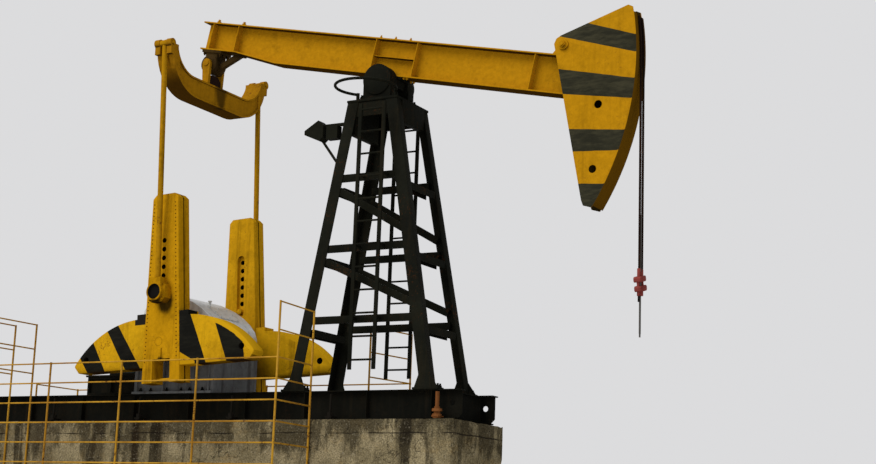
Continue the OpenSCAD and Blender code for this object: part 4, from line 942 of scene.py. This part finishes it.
def bolts(name, node, spots, sizes, seed, finish=None):
    """Bolts on (point, direction) spots. Sizes are the radius and height of the washer, the
    nut and the stub, in millimetres."""
    mesh = bpy.data.meshes.new(name)
    mesh.from_pydata([tuple(p) for p, _ in spots], [], [])
    axis = mesh.attributes.new("axis", "FLOAT_VECTOR", "POINT")
    axis.data.foreach_set("vector", [c for _, d in spots for c in d])
    labels = [part + side for part in ("Washer", "Nut", "Stub") for side in (" Radius", " Height")]
    values = {label: size / 1000 for label, size in zip(labels, sizes)}
    obj = run_tree(put(name, mesh), BOLTED, {**values, "Seed": seed, "Finish": finish or FINISH_OF[node]})
    print(name, "bolts:", len(spots), "faces:", len(obj.data.polygons))
    return settle(obj, node)


print("bolt helpers ready")

# %% [markdown]
# ## The two wire ropes
# Each rope hangs straight from the point where it leaves the curved face, and lies on the
# face above it. The hanging part rides with the carrier, and the part on the head stays
# where it is made.

# %% Twisted ropes
def twisted_ropes(name, points):
    """Two ropes side by side along the same points, each point given as (x, z)."""
    count = len(points)
    verts = [(x, side * ROPE_Y, z) for side in SIDES for x, z in points]
    edges = [(k, k + 1) for k in range(2 * count - 1) if k != count - 1]
    mesh = bpy.data.meshes.new(name)
    mesh.from_pydata(verts, edges, [])
    return run_tree(put(name, mesh), TWISTED, {"Rope Radius": ROPE_RADIUS, "Finish": rope_steel})


rope_low, rope_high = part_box("bridle_ropes")
ROPE_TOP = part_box("bridle_wrap")[1].z
SOLID_RADIUS, ROPE_RADIUS, OFF_THE_FACE = 0.014, 0.0195, 0.0135
ARC_STEPS = 40
ROPE_X = (rope_low.x + rope_high.x) / 2 + ROPE_RADIUS - OFF_THE_FACE
ROPE_Y = rope_high.y - SOLID_RADIUS
ROPE_REACH = ROPE_X - PIVOT.x
ANCHOR_ANGLE = math.asin((ROPE_TOP - PIVOT.z) / (ROPE_REACH + SOLID_RADIUS))

hanging = twisted_ropes("hanging_ropes", [(ROPE_X, rope_low.z), (ROPE_X, PIVOT.z)])
settle(hanging, "bridle_ropes", instead=True)
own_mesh(hanging)
angles = [k / ARC_STEPS * ANCHOR_ANGLE for k in range(ARC_STEPS + 1)]
wrapped = twisted_ropes("wrapped_ropes", [(PIVOT.x + ROPE_REACH * math.cos(a), PIVOT.z + ROPE_REACH * math.sin(a))
                                          for a in angles])
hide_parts("bridle_wrap")
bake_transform(wrapped)

# %% [markdown]
# ## Bolts of the tower and of the saddle
# The legs stand on foot plates with four bolts each, and the bars are welded. The two
# saddle housings are bolted down on the top plate.

# %% Tower bolts
SKID_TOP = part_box("near_skid_beam")[1].z
SADDLE_HALF = -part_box("saddle_bearings")[0].y
for side, node in zip(SIDES, ("near_tower_side", "far_tower_side")):
    low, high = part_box(node)
    outer = high.y if side > 0 else low.y
    xs = [plate + dx for plate in (low.x + 0.23, high.x - 0.23) for dx in (-0.185, 0.185)]
    places = grid(xs, [outer - side * dy for dy in (0.08, 0.16)], SKID_TOP + 0.25)
    bolts(node + "_foot_bolts", node, seats(node, places), (36, 6, 30, 28, 16, 30), 5)
places = grid((-0.31, 0.31), [side * (SADDLE_HALF - y) for side in SIDES for y in (0.06, 0.17)], PIVOT.z - 0.02)
bolts("saddle_base_bolts", "saddle_bearings", seats("saddle_bearings", places), (40, 8, 32, 30, 18, 35), 11)

# %% [markdown]
# ## Bolts of the gearbox and the cranks
# The silver cover is bolted to the grey housing all along its flange, except under the
# crank shaft, and a half ring of bolts closes each bearing boss. The wrist bearings carry
# four bolts on their housing, and one big nut closes the clamp slot of each crank. Small
# cast studs run along both edges of each crank.

# %% Gearbox and crank bolts
BOLT_PITCH, FLANGE_END, SHAFT_GAP = 0.155, 0.06, 0.27
STUDS, STUD_PITCH, LOWEST_STUD = 41, 0.068, -0.33
CRANK_HALF, CRANK_TAPER, CRANK_LENGTH, CRANK_FACE = 0.370, 0.105, 2.556, 1.24
low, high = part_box("gearbox_cover")
flange = high.x - low.x - 2 * FLANGE_END
rows = int(flange / BOLT_PITCH)
xs = [low.x + FLANGE_END + k * flange / rows for k in range(rows + 1)]
places = grid([x for x in xs if abs(x - SHAFT.x) > SHAFT_GAP], (-0.643, 0.643), SHAFT.z + 0.4)
bolts("cover_bolts", "gearbox_cover", seats("gearbox_cover", places), (26, 5, 21, 18, 11, 14), 13)
angles = [(k + 0.5) * math.pi / 4 for k in range(4)]
places = [((SHAFT.x + 0.19 * math.cos(a), side * 0.9, SHAFT.z + 0.19 * math.sin(a)), (0, -side, 0))
          for side in SIDES for a in angles]
bolts("boss_bolts", "gearbox_cover", seats("gearbox_cover", places), (26, 5, 20, 16, 10, 10), 14)
places = [((SHAFT.x + dx, side * 0.647, SHAFT.z - 0.25), -Z) for side in SIDES
          for dx in (-0.88, -0.66, -0.31, 0.0, 0.18, 0.45)]
bolts("gearbox_foot_bolts", "gearbox_housing", seats("gearbox_housing", places), (34, 6, 28, 26, 15, 30), 15,
      skid_black)

for side, crank in zip(SIDES, ("near_crank", "far_crank")):
    inward = (0, -side, 0)
    wrist = crank.replace("crank", "wrist_bearing")
    places = [((dx, side * 2.0, WRIST_REACH + dz), inward) for dx in (-0.116, 0.116) for dz in (-0.116, 0.116)]
    spots = [(widened(p), d) for p, d in seats(wrist, places, ON_CRANK)]
    bolts(wrist + "_bolts", wrist, spots, (24, 5, 19, 18, 10, 10), 17)
    places = []
    for k in range(STUDS):
        z = LOWEST_STUD + k * STUD_PITCH
        half = CRANK_HALF - CRANK_TAPER * z / CRANK_LENGTH
        places += [((x, side * 2.0, z), inward) for x in (-half + 0.036, half - 0.060)]
    spots = [spot for spot in seats(crank, places, ON_CRANK) if abs(spot[0].y) > CRANK_FACE]
    bolts(crank + "_studs", crank, spots, (10.5, 3, 8, 3, 4, 2), 19, edge_mark)
    spots = [(ON_CRANK @ Vector((0.185, side * 1.103, -0.63)), ON_CRANK.to_3x3() @ -X)]
    bolts(crank + "_clamp_nut", crank, spots, (52, 10, 46, 44, 27, 20), 21, crank_yellow)

# %% [markdown]
# ## Bolts of the beam, the head and the tail
# The head hangs on its hinge pin, which is held by a large nut at each end. The tail
# bearing is bolted up to the beam and is propped by a short slanted strut in front, and
# two thick studs stand on the top flange over the stiffeners. A near-black plate fills the
# gap between the equalizer's lugs, under the bearing, as painted shade.

# %% Beam bolts, the tail strut and the shade plate between the lugs
ARM = (TAIL - PIVOT).length
HINGE_X, HINGE_Z = 3.19, 0.930
pin_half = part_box("head_pin")[1].y
spots = [(ON_BEAM @ Vector((HINGE_X, side * pin_half, HINGE_Z)), side * Y) for side in SIDES]
bolts("hinge_nuts", "head_pin", spots, (64, 8, 54, 34, 30, 18), 23)
for name, node, places, sizes, seed in (
        ("tail_bearing_bolts", "tail_bearing", grid((-ARM - 0.178, -ARM + 0.178), (-0.11, 0.0, 0.11), -0.15, Z),
         (34, 7, 28, 26, 15, 20), 27),
        ("tail_knobs", "walking_beam", grid((-3.95, -3.37), (0.0,), 1.2), (50, 12, 40, 40, 24, 35), 28),
        ("top_flange_bolts", "walking_beam", grid((-0.30, 0.0, 0.30), (-0.11, 0.11), 1.2),
         (26, 6, 21, 20, 12, 22), 29),
        ("lower_flange_bolts", "walking_beam", grid((-0.40, -0.34, 0.34, 0.40), (-0.12, 0.12), 0.0, Z),
         (26, 6, 21, 18, 12, 12), 31)):
    bolts(name, node, seats(node, places, ON_BEAM), sizes, seed)


def prism(bm, origin, u, v, outline, depth):
    """A prism over an outline given along u and v, raised by depth along u cross v."""
    base = [bm.verts.new(Vector(origin) + u * a + v * b) for a, b in outline]
    top = [bm.verts.new(p.co + u.cross(v) * depth) for p in base]
    bm.faces.new(base[::-1])
    bm.faces.new(top)
    for k in range(len(base)):
        n = (k + 1) % len(base)
        bm.faces.new((base[k], base[n], top[n], top[k]))


def fitting(name, node, prisms, finish=None, frame_matrix=None):
    """A small piece made of prisms, which goes with a solid."""
    bm = bmesh.new()
    for values in prisms:
        prism(bm, *values)
    if frame_matrix:
        bm.transform(frame_matrix)
    bmesh.ops.recalc_face_normals(bm, faces=bm.faces)
    return settle(object_from(bm, name, finish or FINISH_OF[node]), node)


def rect(a0, a1, b0, b1):
    return [(a0, b0), (a1, b0), (a1, b1), (a0, b1)]


STRUT = [(0, 0), (0.46, 0.325), (0.46, 0.372), (0.36, 0.372), (0, 0.115)]
GAP_OUTLINE = [(0, 0), (0.328, 0), (0.328, 0.17), (0.25, 0.245), (0.078, 0.245), (0, 0.17)]
fitting("tail_strut", "tail_bearing", [
    ((-ARM + 0.13, 0.045, -0.11), X, Z, STRUT, 0.09),
    ((-ARM + 0.42, 0.10, 0.222), X, Z, rect(0, 0.20, 0, 0.037), 0.20)], frame_matrix=ON_BEAM)
# A near-black plate in the gap between the lugs, as painted shade.
fitting("lug_gap_shade", "equalizer", [((TAIL.x - 0.050, 0.164, TAIL.z - 0.452), -Y, Z, GAP_OUTLINE, -0.100)], rope_steel)
print("seats that no ray found:", MISSED)

# %% [markdown]
# ## Welds of the fence and small fittings
# The fence is pipe, welded where a rail crosses a post. Each crossing gets a small
# collar of weld. The anchor brackets of the ropes, the stacked washers of the front stud,
# the glass of the lamp and the lid of the inspection opening are short prisms.

# %% Weld collars, rope anchors, washers, lamp glass and lid
POSTS, POST_PITCH, POST_RADIUS, COLLAR_HALF = 6, 1.54, 0.02, 0.016
RAILS, RAIL_PITCH, RAIL_TOP = 8, 0.328, PLINTH_TOP + 0.85
WASHERS = ((0.022, 0.074, 0.045), (0.067, 0.050, 0.038), (0.105, 0.080, 0.042), (0.147, 0.046, 0.030),
           (0.177, 0.032, 0.235))
LID_HALF = 0.27

for node in ("near_fence", "far_fence"):
    low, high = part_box(node)
    last_x, y = high.x - POST_RADIUS, (low.y + high.y) / 2
    spots = [(Vector((last_x - post * POST_PITCH, y, RAIL_TOP - rail * RAIL_PITCH - COLLAR_HALF)), Z)
             for post in range(POSTS) for rail in range(RAILS)]
    bolts(node + "_welds", node, spots, (20.5, 32, 19.5, 2, 18, 2), 33)

up = Vector((-math.sin(ANCHOR_ANGLE), 0, math.cos(ANCHOR_ANGLE)))
out = Vector((math.cos(ANCHOR_ANGLE), 0, math.sin(ANCHOR_ANGLE)))
anchor = PIVOT + out * (ROPE_REACH - SOLID_RADIUS) - up * 0.03
fitting("rope_anchors", "horsehead", [
    (anchor + Y * side * ROPE_Y, up, Y, rect(-0.05, 0.05, -0.030, 0.030), 0.052) for side in SIDES])

low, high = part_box("anchor_studs")
stack = Vector((high.x - 0.065, low.y + 0.065, PLINTH_TOP + 0.001))
rounds = [(math.cos(k * math.pi / 12), math.sin(k * math.pi / 12)) for k in range(24)]
fitting("stacked_washers", "anchor_studs", [
    (stack + Z * level, X, Y, [(radius * a, radius * b) for a, b in rounds], height)
    for level, radius, height in WASHERS])

low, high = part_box("floodlight")
lamp_y = (low.y + high.y) / 2
lamp_edge = seat("floodlight", (low.x + 0.001, lamp_y, 5.0), Z)[0].z
lamp_slope = Vector((0.300, 0, -0.130)).normalized()
fitting("lamp_glass", "floodlight", [
    ((low.x + 0.02, lamp_y, lamp_edge - 0.004), lamp_slope, Y, rect(0.0, 0.285, -0.085, 0.085), -0.006)], lamp_glass)

first, last = (seat("gearbox_cover", (SHAFT.x + dx, 0, SHAFT.z + 1.5), -Z)[0] for dx in (0.16, 0.46))
slope, span = (last - first).normalized(), (last - first).length
fitting("inspection_lid", "gearbox_cover", [
    (first - Z * 0.002, slope, Y, rect(0, span, -LID_HALF, LID_HALF), 0.018)])
normal = slope.cross(Y)
spots = [(first + slope * a + Y * b + normal * 0.0155, normal) for a in (0.03, span / 2, span - 0.03)
         for b in (-0.24, 0, 0.24) if not (b == 0 and a == span / 2)]
bolts("lid_bolts", "gearbox_cover", spots, (18, 3, 14, 10, 7, 6), 35)

# %% [markdown]
# ## Floor, light and sky
# The floor is plain and pale. One broad soft lamp stands for the brighter part of an
# overcast sky, behind the camera to the left, and the world fills the rest. The camera
# sees a pale sky through Is Camera Ray, while the machine is lit by a dimmer one, so the
# colours stay as they were written.

# %% Studio
FLOOR_HALF = 90
FLOOR_Z = -0.004


def make_sky():
    world = bpy.data.worlds.new("pale_sky")
    world.use_nodes = True
    tree = world.node_tree
    tree.nodes.clear()
    rays = [Flow(s) for s in add_node(tree, "ShaderNodeLightPath").outputs
            if s.name in ("Is Camera Ray", "Is Glossy Ray", "Is Transmission Ray")]
    seen = rays[0].math("MAXIMUM", rays[1].math("MAXIMUM", rays[2]))
    fill = add(tree, "ShaderNodeBackground", {"Color": rgb(0.93, 0.95, 1.0), "Strength": 0.50})
    sky = add(tree, "ShaderNodeBackground", {"Color": rgb(0.715, 0.715, 0.725), "Strength": 1.0})
    add_node(tree, "ShaderNodeOutputWorld", {"Surface": add(tree, "ShaderNodeMixShader", {0: seen, 1: fill, 2: sky})})
    return world


def make_lamp():
    sun = bpy.data.lights.new("soft_sky", "SUN")
    sun.energy, sun.angle = 1.9, math.radians(38)
    lamp = put("soft_sky", sun)
    lamp.rotation_euler = Vector((0.30, 0.62, -0.72)).to_track_quat("-Z", "Y").to_euler()


def make_floor():
    mesh = bpy.data.meshes.new("pale_floor")
    mesh.from_pydata([(FLOOR_HALF * x, FLOOR_HALF * y, FLOOR_Z) for x, y in rect(-1, 1, -1, 1)], [], [(0, 1, 2, 3)])
    material, shader, _ = new_material("pale_floor")
    shader.inputs["Base Color"].default_value = rgb(0.70, 0.69, 0.67)
    shader.inputs["Roughness"].default_value = 0.9
    mesh.materials.append(material)
    return put("pale_floor", mesh)


bpy.context.scene.world = make_sky()
make_lamp()
make_floor()
bpy.context.scene.view_settings.view_transform = "Standard"
print("studio ready")

# %% [markdown]
